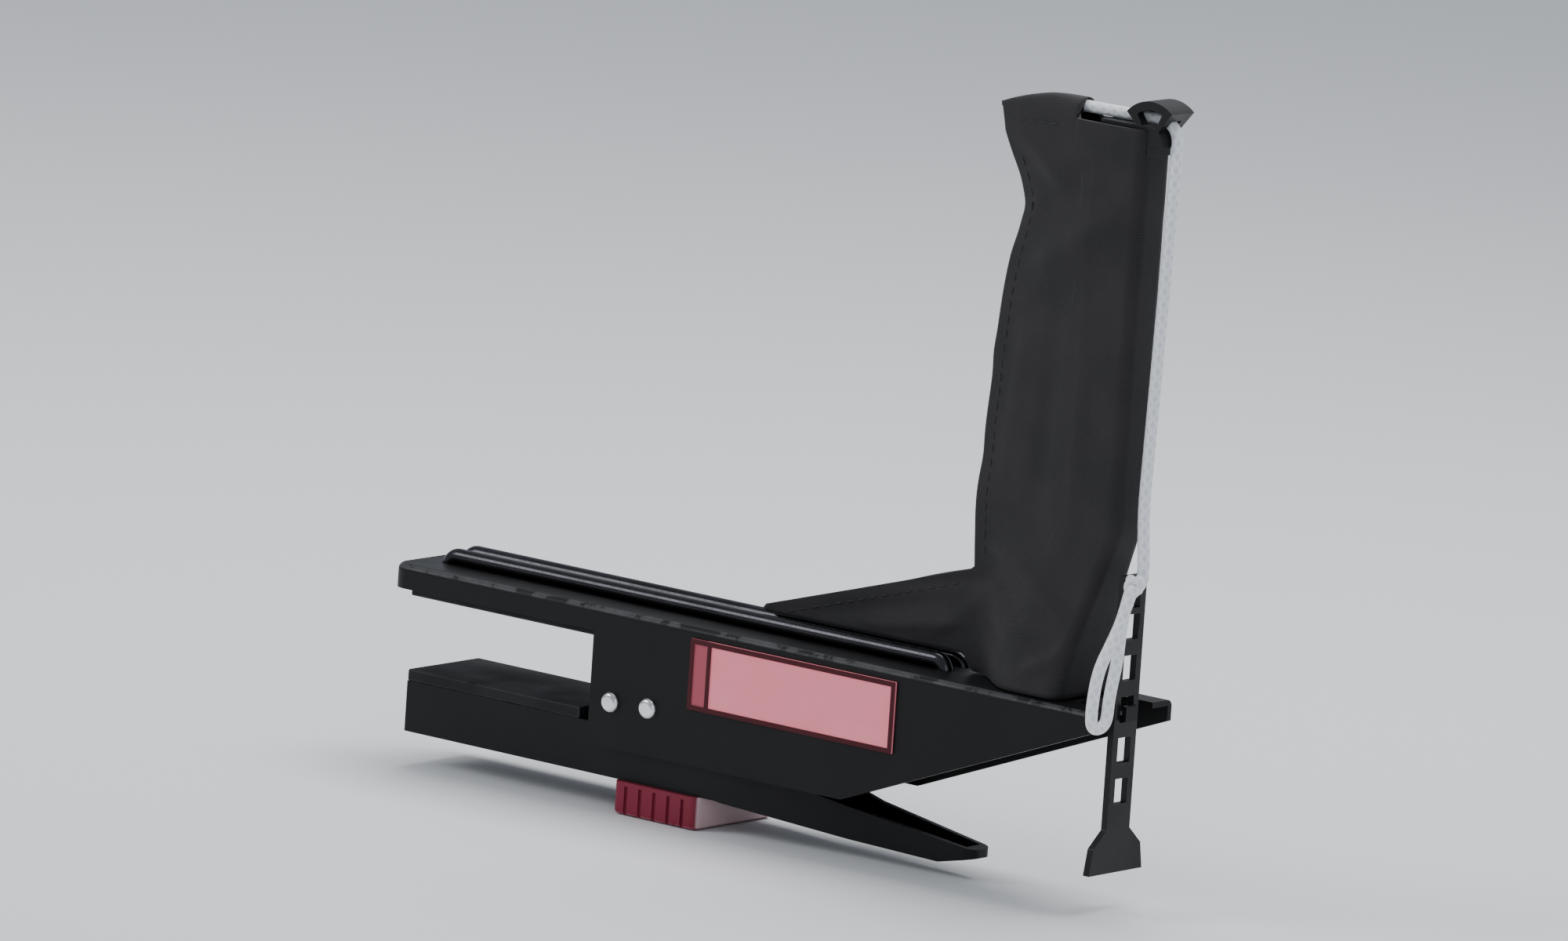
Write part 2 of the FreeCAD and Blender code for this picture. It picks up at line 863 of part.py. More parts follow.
def make_torsion_spring():
    centre = vector(reach(dim.spring_reach), 0, -dim.spring_low)
    radius = dim.coil_radius.value
    wire = dim.wire.value
    start, turn = coil_sweep()
    rise = dim.coil_pitch.value / (2 * pi)
    quarter_count = int(turn / (pi / 2)) + 1
    step = turn / quarter_count
    first_y = -turn * rise / 2

    def point(angle):
        around = start - angle
        return centre + FreeCAD.Vector(radius * cos(around), first_y + rise * angle, radius * sin(around))

    def heading(angle):
        around = start - angle
        return FreeCAD.Vector(radius * sin(around), rise, -radius * cos(around)).normalize()

    leg = dim.leg_length.value
    lower_end = point(0) - heading(0) * leg
    upper_end = point(turn) + heading(turn) * leg
    edges = [Part.LineSegment(lower_end, point(0)).toShape()]
    for index in range(quarter_count):
        low, high = index * step, (index + 1) * step
        edges += biarc(point(low), heading(low), point(high), heading(high))
    edges.append(Part.LineSegment(point(turn), upper_end).toShape())
    shape = swept(Part.__sortEdges__(edges), wire)
    samples = [point(turn * index / SPRING_SAMPLES) for index in range(SPRING_SAMPLES + 1)]
    apart = SPRING_SAMPLES * pi / turn
    gaps = [(a - b).Length for i, a in enumerate(samples) for j, b in enumerate(samples) if j - i > apart]
    report_sweep("torsion_spring", shape, edges, wire, [radius])
    print(f"torsion_spring: least gap between turns {min(gaps) - wire:.2f}")
    shaped("torsion_spring", shape)


# Moulded cover under the lever

def cover_centre():
    return reach(dim.cover_reach) + dim.cover_length / 2


def make_spring_cover():
    body = new_body("spring_cover")
    low_x = reach(dim.cover_reach)
    high_x = low_x + dim.cover_length
    half = dim.cover_width / 2
    top = -dim.lever_low
    bottom = top - dim.cover_height
    block = new_sketch(body, "XY_Plane", bottom)
    draw_outline(block, rectangle(low_x, -half, high_x, half))
    pad(body, block, dim.cover_height, midplane=False)
    uprights = []
    for x in (low_x, high_x):
        for y in (-half, half):
            uprights += edges_at(body, x=x, y=y)
    fillet(body, uprights, dim.cover_radius)
    rim = edges_at(body, y=half, z=bottom) + edges_at(body, y=-half, z=bottom)
    fillet(body, rim, dim.cover_radius / 2)

    hollow = new_sketch(body, "XY_Plane", top)
    wall = dim.cover_wall
    draw_outline(hollow, rectangle(low_x + wall, -half + wall, high_x - wall, half - wall))
    pocket(body, hollow, dim.cover_height - dim.cover_floor, midplane=False)

    bosses = new_sketch(body, "XY_Plane", bottom)
    for side in (-1, 1):
        draw_circle(bosses, (cover_centre(), dim.boss_spread * side), dim.boss_radius)
    pad(body, bosses, dim.cover_height, midplane=False)
    drill = new_sketch(body, "XY_Plane", bottom)
    for side in (-1, 1):
        draw_circle(drill, (cover_centre(), dim.boss_spread * side), dim.screw_radius)
    pocket(body, drill, dim.cover_height, midplane=False, reverse=True)
    sink = new_sketch(body, "XY_Plane", bottom)
    for side in (-1, 1):
        draw_circle(sink, (cover_centre(), dim.boss_spread * side), dim.screw_head + dim.running)
    pocket(body, sink, dim.screw_sink, midplane=False, reverse=True)

    groove = new_sketch(body, "XY_Plane", bottom)
    first = cover_centre() - dim.groove_pitch * (dim.groove_count - 1) / 2 - dim.groove_width / 2
    deep = half - dim.groove_depth
    draw_outline(groove, rectangle(first, deep, first + dim.groove_width, half + 1))
    draw_outline(groove, rectangle(first, -half - 1, first + dim.groove_width, -deep))
    slit = pocket(body, groove, dim.cover_height - 1, midplane=False, reverse=True)
    pattern(body, slit, "H_Axis", dim.groove_pitch, dim.groove_count)
    node(body, "spring_cover")


def make_cover_screws():
    bottom = -dim.lever_low - dim.cover_height
    tip = dim.plate * 2 + dim.cover_height
    screws = []
    for name, side in (("front_screw", -1), ("rear_screw", 1)):
        body = turned(name, "XZ_Plane", [
            (Size("0", 0.0), Size("0", 0.0)),
            (dim.screw_head, Size("0", 0.0)),
            (dim.screw_head, dim.screw_sink),
            (dim.screw_radius, dim.screw_sink),
            (dim.screw_radius, tip),
            (Size("0", 0.0), tip),
        ], cover_centre(), dim.boss_spread * side, bottom)
        slot = new_sketch(body, "XY_Plane")
        edge = dim.screw_head + 1
        draw_outline(slot, rectangle(-edge, -dim.screw_slot / 2, edge, dim.screw_slot / 2))
        pocket(body, slot, dim.screw_sink / 2, midplane=False, reverse=True)
        screws.append(body)
    pair("cover_screws", *screws)


# Wire rails

def make_rails():
    wire = dim.rail_wire.value
    bend = dim.rail_bend.value
    level = (dim.arm_top + dim.rail_wire / 2).value
    foot = dim.rail_foot.value
    inner, outer = (foot_x.value for foot_x in rail_feet())
    for name, side in (("front_net_rail", -1), ("rear_net_rail", 1)):
        y = (dim.rail_spread / 2 * side).value
        corners = [
            FreeCAD.Vector(inner, y, foot),
            FreeCAD.Vector(inner, y, level),
            FreeCAD.Vector(outer, y, level),
            FreeCAD.Vector(outer, y, foot),
        ]
        edges = tangent_path(corners, [bend, bend])
        shape = swept(edges, wire)
        report_sweep(name, shape, edges, wire, [bend, bend])
        shaped(name, shape)


# Badges

def make_badge(name, side):
    """A plain plate with a raised rim and one stripe, on the flange's outer face."""
    body = new_body(name)
    low_x = reach(dim.badge_reach)
    high_x = low_x + dim.badge_length
    high_z = dim.badge_top
    low_z = high_z - dim.badge_height
    face = dim.arm_width / 2
    front = side < 0
    plate = new_sketch(body, "XZ_Plane", face if front else -face)
    draw_outline(plate, rectangle(low_x, low_z, high_x, high_z))
    pad(body, plate, dim.badge_thick, midplane=False, reverse=not front)
    outer_face = face + dim.badge_thick
    rim = dim.badge_rim
    panel = new_sketch(body, "XZ_Plane", outer_face if front else -outer_face)
    stripe_x = low_x + rim + dim.badge_stripe
    draw_outline(panel, rectangle(low_x + rim, low_z + rim, stripe_x, high_z - rim))
    draw_outline(panel, rectangle(stripe_x + rim, low_z + rim, high_x - rim, high_z - rim))
    pocket(body, panel, dim.badge_sink, midplane=False, reverse=not front)
    node(body, name)


# Post and its head

def make_post():
    body = new_body("post")
    outer = reach(dim.post_outer)
    width = dim.post_width
    shift = dim.post_shift
    wall = dim.post_wall

    def bar(low_side, high_side, bottom, top):
        """Outline of the cranked bar, drawn in from its two faces."""
        return [
            (outer - high_side - shift, bottom),
            (outer - high_side - shift, dim.crank_low),
            (outer - high_side, dim.crank_high),
            (outer - high_side, top),
            (outer - width + low_side, top),
            (outer - width + low_side, dim.crank_high),
            (outer - width + low_side - shift, dim.crank_low),
            (outer - width + low_side - shift, bottom),
        ]

    outline = new_sketch(body, "XZ_Plane")
    draw_outline(outline, bar(as_size(0), as_size(0), dim.post_foot, dim.post_top))
    pad(body, outline, dim.post_depth)
    lengthwise = []
    for face in (dim.post_depth / 2, -dim.post_depth / 2):
        ends = edges_at(body, y=face, z=dim.post_foot) + edges_at(body, y=face, z=dim.post_top)
        lengthwise += [name for name in edges_at(body, y=face) if name not in ends]
    fillet(body, lengthwise, dim.post_corner)
    bore = new_sketch(body, "XZ_Plane")
    draw_outline(bore, bar(wall, wall, dim.post_foot - 1, dim.post_top + 1))
    pocket(body, bore, dim.post_depth - wall * 2)
    cross = new_sketch(body, "XZ_Plane")
    draw_circle(cross, head_pin_place(), dim.cross_pin)
    pocket(body, cross, dim.post_depth + 2)
    node(body, "post")


def head_pin_place():
    """Middle of the cross pin that holds the head in the post, as X and Z."""
    return reach(dim.post_outer) - dim.post_width / 2, dim.post_top - dim.plug_depth / 2


def make_post_head():
    half = dim.post_depth / 2
    outer = reach(dim.post_outer)
    inner = outer - dim.post_width
    bend_x = outer + dim.bend_stand
    bend_z = cord_level() - dim.bend_radius
    saddle = dim.bend_radius - dim.cord / 2 - dim.running
    block_top = cord_level() - dim.cord / 2 - dim.running
    wall = dim.post_wall + dim.running
    plug = box("head_plug", (inner + wall, -half + wall, dim.post_top - dim.plug_depth),
               (outer - wall, half - wall, dim.post_top + 1))
    block = box("head_block", (inner, -half, dim.post_top + dim.running), (bend_x, half, block_top))
    nose = sector("head_nose", saddle, 0, 90, dim.post_depth, bend_x, bend_z)
    skirt = box("head_skirt", (bend_x - 1, -half, bend_z - dim.nose_skirt), (bend_x + saddle, half, bend_z))
    arch = sector("head_arch", dim.arch_radius, dim.arch_start, dim.arch_end, dim.arch_width, bend_x, bend_z)
    solid = fuse("head_solid", [plug, block, nose, skirt, arch])
    lane = dim.cord / 2 + dim.cord_play
    channel = sector("lane_bend", dim.bend_radius + lane, 0, 90, lane * 2, bend_x, bend_z)
    core = sector("lane_core", saddle, -10, 100, lane * 2 + 1, bend_x, bend_z)
    bend = cut("lane_ring", channel, core)
    run = box("lane_run", (inner - 5, -lane, block_top), (bend_x, lane, cord_level() + lane))
    open_disc = sector("window_disc", dim.arch_radius - dim.arch_bridge, dim.arch_start + dim.arch_leg,
                       dim.arch_end - dim.arch_leg, dim.arch_width + 2, bend_x, bend_z)
    sill = sector("window_sill", saddle + dim.arch_sill, 0, 180, dim.arch_width + 4, bend_x, bend_z)
    windows = cut("head_windows", open_disc, sill)
    cross = doc.addObject("Part::Cylinder", "cross_hole")
    cross.setExpression("Radius", dim.cross_pin.text)
    cross.setExpression("Height", (dim.post_depth + 2).text)
    pin_x, pin_z = head_pin_place()
    place(cross, pin_x, half + 1, pin_z)
    cross.Placement = FreeCAD.Placement(cross.Placement.Base, FreeCAD.Rotation(FreeCAD.Vector(1, 0, 0), 90))
    head = cut("post_head", solid, fuse("head_cuts", [bend, run, windows, cross]))
    doc.recompute()
    node(head, "post_head")


def make_head_pin():
    x, z = head_pin_place()
    half = dim.post_depth / 2
    body = turned("head_pin", "XY_Plane", rectangle(Size("0", 0.0), -half, dim.cross_pin, half), x, 0, z)
    node(body, "head_pin")


# Height adjustment

def make_post_socket():
    body = new_body("post_socket")
    inner = socket_inner()
    outer = foot_centre() * 2 - inner
    half = dim.post_depth / 2 + dim.running + dim.socket_wall
    base = dim.arm_top
    flange = new_sketch(body, "XY_Plane", base)
    draw_outline(flange, rectangle(inner - dim.socket_flange, -half, outer, half))
    pad(body, flange, dim.flange_thick, midplane=False)
    wall = new_sketch(body, "XY_Plane", base)
    draw_outline(wall, rectangle(inner, -half, outer, half))
    pad(body, wall, dim.socket_top - base, midplane=False)
    bore = new_sketch(body, "XY_Plane", dim.socket_top)
    low_x = inner + dim.socket_wall
    high_x = outer - dim.socket_wall
    bore_half = half - dim.socket_wall
    draw_outline(bore, rectangle(low_x, -bore_half, high_x, bore_half))
    pocket(body, bore, dim.socket_top - base, midplane=False)
    holes = new_sketch(body, "XY_Plane", base)
    for x, y in socket_rivet_places():
        draw_circle(holes, (x, y), dim.rivet_radius)
    pocket(body, holes, dim.flange_thick, midplane=False, reverse=True)
    node(body, "post_socket")


def make_socket_rivets():
    rivets = []
    low = dim.arm_top - dim.plate
    high = dim.arm_top + dim.flange_thick
    for name, (x, y) in zip(("front_rivet", "rear_rivet"), socket_rivet_places()):
        rivets.append(turned(name, "XZ_Plane", [
            (Size("0", 0.0), low - dim.rivet_height),
            (dim.rivet_head, low - dim.rivet_height),
            (dim.rivet_head, low),
            (dim.rivet_radius, low),
            (dim.rivet_radius, high),
            (dim.rivet_head, high),
            (dim.rivet_head, high + dim.rivet_height),
            (Size("0", 0.0), high + dim.rivet_height),
        ], x, y, 0))
    pair("socket_rivets", *rivets)


def make_height_screw():
    under_web = dim.arm_top - dim.plate - dim.running
    low = under_web - dim.height_head_thick
    body = turned("height_screw", "XZ_Plane", [
        (Size("0", 0.0), low),
        (dim.height_head, low),
        (dim.height_head, under_web),
        (dim.thread_radius, under_web),
        (dim.thread_radius, dim.height_screw_top),
        (Size("0", 0.0), dim.height_screw_top),
    ], foot_centre(), 0, 0)
    slot = new_sketch(body, "XY_Plane", low)
    edge = dim.height_head + 1
    draw_outline(slot, rectangle(-edge, -dim.height_slot / 2, edge, dim.height_slot / 2))
    pocket(body, slot, dim.height_head_thick / 2, midplane=False, reverse=True)
    node(body, "height_screw")


def make_screw_clip():
    low = dim.arm_top + dim.running
    high = low + dim.clip_thick
    corners = rectangle(dim.thread_radius, low, dim.clip_radius, high)
    node(turned("screw_clip", "XZ_Plane", corners, foot_centre(), 0, 0), "screw_clip")


def make_height_nut():
    body = new_body("height_nut")
    half_x = dim.post_width / 2 - dim.post_wall
    half_y = dim.post_depth / 2 - dim.post_wall
    middle = foot_centre()
    block = new_sketch(body, "XY_Plane", dim.nut_low)
    draw_outline(block, rectangle(middle - half_x, -half_y, middle + half_x, half_y))
    pad(body, block, dim.nut_thick, midplane=False)
    thread = new_sketch(body, "XY_Plane", dim.nut_low)
    draw_circle(thread, (middle, 0), dim.thread_radius + dim.running)
    pocket(body, thread, dim.nut_thick, midplane=False, reverse=True)
    node(body, "height_nut")


# Fabric sleeve
# Each level gives a share of the sleeve's height, the inner edge's distance from the post's outer
# face, how far the outer edge stands beyond that face, and the slack beside the post. The wavy
# inner edge is where the net pulls on the cloth.

SLEEVE_LEVELS = [
    (0.0, 42.2, -7.8, 8.7),
    (0.0395, 44.6, -7.6, 7.1),
    (0.0958, 45.6, -6.8, 5.1),
    (0.1663, 45.6, -4.2, 2.9),
    (0.3002, 45.6, 1.5, 1.5),
    (0.5187, 43.6, 1.5, 1.5),
    (0.6314, 42.3, 1.5, 1.5),
    (0.7371, 40.2, 1.6, 1.5),
    (0.8041, 37.8, 1.7, 1.5),
    (0.8569, 38.3, 1.8, 1.5),
    (0.9063, 41.6, 1.8, 1.5),
    (0.9556, 45.1, 1.8, 1.5),
    (1.0, 46.8, 1.8, 1.5),
]


def sleeve_section(level, inner, outer, half, edge_half, shoulder, corner):
    """One level of the pocket: a wedge from the seam, round the post at its outer end."""
    x0 = reach(inner).value
    x1 = reach(shoulder).value
    x2 = reach(outer).value
    slant = corner * (1 - cos(pi / 4))
    points = [
        (x0, -edge_half), (x1, -half), (x2 - corner, -half), (x2 - slant, -half + slant),
        (x2, -half + corner), (x2, half - corner), (x2 - slant, half - slant), (x2 - corner, half),
        (x1, half), (x0, edge_half),
    ]
    at = [FreeCAD.Vector(x, y, level) for x, y in points]
    edges = [
        Part.LineSegment(at[0], at[1]).toShape(),
        Part.LineSegment(at[1], at[2]).toShape(),
        Part.Arc(at[2], at[3], at[4]).toShape(),
        Part.LineSegment(at[4], at[5]).toShape(),
        Part.Arc(at[5], at[6], at[7]).toShape(),
        Part.LineSegment(at[7], at[8]).toShape(),
        Part.LineSegment(at[8], at[9]).toShape(),
        Part.LineSegment(at[9], at[0]).toShape(),
    ]
    return Part.Wire(edges)


def make_post_sleeve():
    cloth = dim.cloth.value
    play = dim.cloth_play.value
    outer_wires = []
    inner_wires = []
    seam = cloth + play * 2 / 3
    bend = dim.post_corner.value + play
    for share, inset, stand, slack in SLEEVE_LEVELS:
        level = (dim.sleeve_low + ((dim.post_top + dim.sleeve_rise) - dim.sleeve_low) * share).value
        inner = dim.post_outer.value - inset
        outer = dim.post_outer.value + stand
        half = dim.post_depth.value / 2 + slack
        shoulder = outer - dim.post_width.value - cloth - play * 2
        outside = (level, inner, outer, half, seam, shoulder, bend + cloth)
        pocket_start = inner + dim.seam_width.value
        inside = (level, pocket_start, outer - cloth, half - cloth, play, shoulder, bend)
        outer_wires.append(sleeve_section(*outside))
        inner_wires.append(sleeve_section(*inside))
    outside = Part.makeLoft(outer_wires, True, True)
    inside = Part.makeLoft(inner_wires, True, True)
    hem_low = dim.post_top + dim.hem_rise
    hem_top = (cord_level() + dim.cord / 2 + dim.hem_cover).value
    hem_half = (dim.cord / 2).value + cloth
    hem = Part.makeBox(
        (dim.hem_outer - dim.hem_inner).value, hem_half * 2, hem_top - hem_low.value,
        vector(reach(dim.hem_inner), -hem_half, hem_low))
    upper = [edge for edge in hem.Edges if edge.CenterOfMass.z > cord_level().value]
    lengthwise = [edge for edge in upper if abs(edge.tangentAt(0).x) > 0.9]
    hem = hem.makeFillet(hem_half * 0.8, lengthwise)
    corners = [
        vector(reach(dim.gusset_inner), 0, dim.sleeve_low),
        vector(reach(dim.gusset_inner), 0, dim.gusset_tip),
        vector(reach(dim.gusset_fold), 0, dim.gusset_top),
        vector(reach(dim.gusset_outer), 0, dim.gusset_top),
        vector(reach(dim.gusset_outer), 0, dim.sleeve_low),
    ]
    face = Part.Face(Part.makePolygon(corners + corners[:1]))
    thick = dim.gusset_thick.value
    face.translate(FreeCAD.Vector(0, -thick / 2, 0))
    gusset = face.extrude(FreeCAD.Vector(0, thick, 0))
    shape = outside.fuse([hem, gusset]).cut(inside)
    tunnel = Part.makeCylinder(
        (dim.cord / 2).value + play, (dim.hem_outer - dim.hem_inner).value,
        vector(reach(dim.hem_inner + 4), 0, cord_level()), FreeCAD.Vector(1, 0, 0))
    clear = (dim.post_depth / 2).value + play
    corner_gap = Part.makeBox(
        20, clear * 2, 30,
        vector(reach(dim.post_outer - 3), -clear, dim.post_top - play))
    socket_half = (dim.post_depth / 2 + dim.rivet_head).value + play
    socket = Part.makeBox(
        (foot_centre() * 2 - socket_inner() * 2 + dim.socket_flange).value + play * 2,
        socket_half * 2,
        dim.socket_top.value - 5,
        vector(socket_inner() - dim.socket_flange - play, -socket_half, 5))
    rails = []
    for side in (-1, 1):
        half = (dim.rail_spread / 2 * side).value
        radius = (dim.rail_wire / 2).value + play
        rails.append(Part.makeCylinder(
            radius, (dim.rail_outer - dim.gusset_inner).value + 6,
            vector(reach(dim.gusset_inner - 2), half, dim.arm_top + dim.rail_wire / 2),
            FreeCAD.Vector(1, 0, 0)))
    shape = shape.cut([tunnel, corner_gap, socket] + rails)
    shaped("post_sleeve", shape)


# Cord, knot and tail
# The cord leaves the sleeve's hem, turns down over the head, runs tight to the knee of the post
# and passes the top of the strap into its eye. Its end is knotted on the strap's outer face, and
# the tail hangs there as a loop that leans to the near side, before the arm's end. Each point
# gives how far it lies beyond the strap's inner face, then Y, then its height by a named level.

def cord_points():
    over_head = dim.post_outer - dim.strap_reach
    beside = over_head + dim.bend_stand + dim.bend_radius
    return [
        (over_head - dim.cord_start, 0.0, cord_level()),
        (beside + 0.15, 0.0, cord_level()),
        (beside - 2.4, 0.0, dim.crank_high + 4),
        (dim.strap_thick + 2.0, 0.0, dim.strap_top + 2.8),
        (dim.strap_thick + 1.9, 0.0, dim.strap_top - 2.3),
        (dim.strap_thick - 1.2, 0.0, dim.eye_level + 0.1),
    ]


def tail_points():
    """The tail's loop, from the knot down before the arm's end and back up to the knot."""
    level = dim.eye_level
    out = dim.strap_thick
    far = -dim.strap_width / 2 - 7.5
    near = far - dim.tail_spread
    return [
        (out + 3.9, -7.4, level + 1.4),
        (out + 3.9, -9.6, level - 4.3),
        (out + 3.9, -12.5, level - 9.3),
        (out + 3.8, near + 1.3, level - 16.3),
        (out + 3.6, near, level - 25.8),
        (out + 3.6, near + 1.4, level - 30.5),
        (out + 3.6, far - 1.6, level - 29.9),
        (out + 3.5, far, level - 22.3),
        (out + 3.1, far + 2.6, level - 15.3),
        (out + 2.4, far + 4.0, level - 8.8),
        (out + 2.0, far + 5.1, level - 4.3),
        (out + 1.8, -5.1, level + 0.5),
    ]


def route(points):
    return [vector(reach(dim.strap_reach + beyond), y, z) for beyond, y, z in points]


def make_cord():
    wire = dim.cord.value
    points = route(cord_points())
    radii = route_radii(points)
    radii[0] = dim.bend_radius.value
    edges = tangent_path(points, radii)
    shape = swept(edges, wire)
    report_sweep("net_cord", shape, edges, wire, radii)
    shaped("net_cord", shape)
    points = route(tail_points())
    radii = route_radii(points)
    edges = tangent_path(points, radii)
    shape = swept(edges, wire)
    report_sweep("cord_tail", shape, edges, wire, radii)
    shaped("cord_tail", shape)


def make_cord_knot():
    knot = doc.addObject("Part::Ellipsoid", "cord_knot")
    for prop in ("Radius1", "Radius2", "Radius3"):
        knot.setExpression(prop, dim.knot_radius.text)
    middle = reach(dim.strap_reach) + dim.strap_thick + dim.knot_radius + dim.running
    place(knot, middle, -dim.knot_side, dim.eye_level + dim.knot_rise)
    node(knot, "cord_knot")


# Ladder strap

def make_ladder_strap():
    body = new_body("ladder_strap")
    half = dim.strap_width / 2
    tab = dim.tab_width / 2
    shoulder = dim.tab_upper / 2
    low = -dim.strap_low
    face = reach(dim.strap_reach)
    outline = new_sketch(body, "YZ_Plane", face)
    draw_outline(outline, [
        (-tab, low),
        (tab, low),
        (shoulder, low + dim.tab_shoulder),
        (half, low + dim.tab_height),
        (half, dim.strap_top),
        (-half, dim.strap_top),
        (-half, low + dim.tab_height),
        (-shoulder, low + dim.tab_shoulder),
    ])
    pad(body, outline, dim.strap_thick, midplane=False)
    eye = new_sketch(body, "YZ_Plane", face)
    eye_low = dim.eye_level - dim.eye_height / 2
    eye_high = dim.eye_level + dim.eye_height / 2
    draw_outline(eye, rectangle(-dim.eye_width / 2, eye_low, dim.eye_width / 2, eye_high))
    pocket(body, eye, dim.strap_thick, midplane=False, reverse=True)
    ladder = new_sketch(body, "YZ_Plane", face)
    hook_under = dim.arm_top - dim.hook_drop - dim.plate
    first = hook_under - dim.hook_play - dim.hole_pitch * 2
    wide = dim.hole_width / 2
    draw_outline(ladder, rectangle(-wide, first, wide, first + dim.hole_height))
    hole = pocket(body, ladder, dim.strap_thick, midplane=False, reverse=True)
    pattern(body, hole, "V_Axis", dim.hole_pitch, dim.hole_count)
    node(body, "ladder_strap")


def check_and_write():
    """Refuse a failed or broken sub-part, then write one file for each."""
    doc.recompute()
    for thing in doc.Objects:
        if "Invalid" in thing.State or "Error" in thing.State:
            raise RuntimeError(f"{thing.Label} is {thing.State}")
    os.makedirs("parts", exist_ok=True)
    for thing in NODES:
        shape = thing.Shape
        if shape.isNull() or not shape.isValid() or not shape.Solids:
            raise RuntimeError(f"{thing.Label} has no valid shape")
        if any(solid.Volume <= 0 for solid in shape.Solids):
            raise RuntimeError(f"{thing.Label} is inside out")
        shape.exportStep(f"parts/{thing.Label}.step")
        print(f"{thing.Label}: {len(shape.Solids)} solid, {shape.Volume:.0f} mm3")


make_upper_arm()
make_upper_pad()
make_lower_pad()
make_lever()
make_pivot()
make_spring_seat()
make_torsion_spring()
make_spring_cover()
make_cover_screws()
make_rails()
make_badge("front_badge", -1)
make_badge("rear_badge", 1)
make_post()
make_post_head()
make_head_pin()
make_post_socket()
make_socket_rivets()
make_height_screw()
make_screw_clip()
make_height_nut()
make_post_sleeve()
make_cord()
make_cord_knot()
make_ladder_strap()
check_and_write()
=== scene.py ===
import math

import bmesh
import bpy
from mathutils import Matrix, Vector, noise


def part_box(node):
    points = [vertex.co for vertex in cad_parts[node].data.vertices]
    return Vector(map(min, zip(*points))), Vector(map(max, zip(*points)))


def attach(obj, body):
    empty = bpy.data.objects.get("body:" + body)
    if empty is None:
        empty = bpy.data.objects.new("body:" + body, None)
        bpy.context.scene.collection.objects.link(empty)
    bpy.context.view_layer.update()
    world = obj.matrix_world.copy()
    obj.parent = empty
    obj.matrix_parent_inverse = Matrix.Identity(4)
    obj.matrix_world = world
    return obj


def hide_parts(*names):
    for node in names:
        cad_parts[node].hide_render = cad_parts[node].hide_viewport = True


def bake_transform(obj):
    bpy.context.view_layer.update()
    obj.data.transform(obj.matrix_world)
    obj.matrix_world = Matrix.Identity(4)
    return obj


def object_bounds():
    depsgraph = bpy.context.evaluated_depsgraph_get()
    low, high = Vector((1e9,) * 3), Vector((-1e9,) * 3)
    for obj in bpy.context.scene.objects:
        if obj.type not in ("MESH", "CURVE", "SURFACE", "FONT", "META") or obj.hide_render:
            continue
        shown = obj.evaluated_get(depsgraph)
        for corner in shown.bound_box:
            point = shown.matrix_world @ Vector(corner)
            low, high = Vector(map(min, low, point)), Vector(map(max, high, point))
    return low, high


# Dressed model of a sprung clamp that holds one end of a table tennis net.
# X runs outwards across the table's edge, Y along the table, Z up. The origin is the middle of the
# upper seat. Lengths are in millimetres unless a comment says metres. Reaches are counted outwards
# from the table's edge, as in the part's own source.

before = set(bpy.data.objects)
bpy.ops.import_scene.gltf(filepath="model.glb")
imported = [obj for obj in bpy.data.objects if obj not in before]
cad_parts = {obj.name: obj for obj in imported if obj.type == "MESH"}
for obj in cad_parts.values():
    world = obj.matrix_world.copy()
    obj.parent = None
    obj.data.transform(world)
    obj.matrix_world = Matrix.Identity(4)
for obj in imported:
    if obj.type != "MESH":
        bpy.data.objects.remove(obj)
cad_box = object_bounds()

MM = 0.001
TABLE_EDGE = 30.0
CORD = 3.0                      # diameter of the cord
CLOTH = 1.2                     # thickness of the sleeve's cloth


def at(reach, y, z):
    """A place in metres from its reach, side and height in millimetres."""
    return Vector((TABLE_EDGE + reach, y, z)) * MM


# Camera, where the photograph was taken from

CAMERA_PLACE = (2.10175, -2.52482, 0.61058)     # metres
CAMERA_HEADING = 128.7331       # degrees from X, counted from above
CAMERA_DIP = -9.8597
CAMERA_ROLL = 3.8294
CAMERA_LENS = 303.62
CAMERA_SENSOR = 36.0


def make_camera():
    heading = math.radians(CAMERA_HEADING)
    dip = math.radians(CAMERA_DIP)
    roll = math.radians(CAMERA_ROLL)
    forward = Vector((
        math.cos(dip) * math.cos(heading),
        math.cos(dip) * math.sin(heading),
        math.sin(dip),
    ))
    level = forward.cross(Vector((0, 0, 1))).normalized()
    upright = level.cross(forward)
    right = level * math.cos(roll) + upright * math.sin(roll)
    up = upright * math.cos(roll) - level * math.sin(roll)
    data = bpy.data.cameras.new("photo_camera")
    data.sensor_width = CAMERA_SENSOR
    data.lens = CAMERA_LENS
    data.clip_start = 0.1
    data.clip_end = 60.0
    camera = bpy.data.objects.new("photo_camera", data)
    turn = Matrix((right, up, -forward)).transposed()
    camera.matrix_world = Matrix.Translation(CAMERA_PLACE) @ turn.to_4x4()
    bpy.context.scene.collection.objects.link(camera)
    bpy.context.scene.camera = camera


# Meshes

SAME_PLACE = 0.002              # corners nearer than this are one corner
FLAT_ANGLE = 0.6                # degrees: faces that turn less than this are one flat
SHARP_ANGLE = 24.0              # degrees: edges that turn more than this are eased
EASED_STEPS = 2
FOLD_HIGHLIGHT = 0.6                 # strength of the painted highlight on the rounded folds, beside the worn sharp edges
FOLD_LEAN = (0.2, 0.5)          # lean out of the flats at which that painted highlight starts and is full
ROUTE_STEPS = 14                # points of a smooth line for each point of its route
CORD_SIDES = 16
KNOT_SIDES = 12


def smooth(value, low, high):
    """0 below low, 1 above high, and a soft step between."""
    share = max(0.0, min(1.0, (value - low) / (high - low)))
    return share * share * (3 - 2 * share)


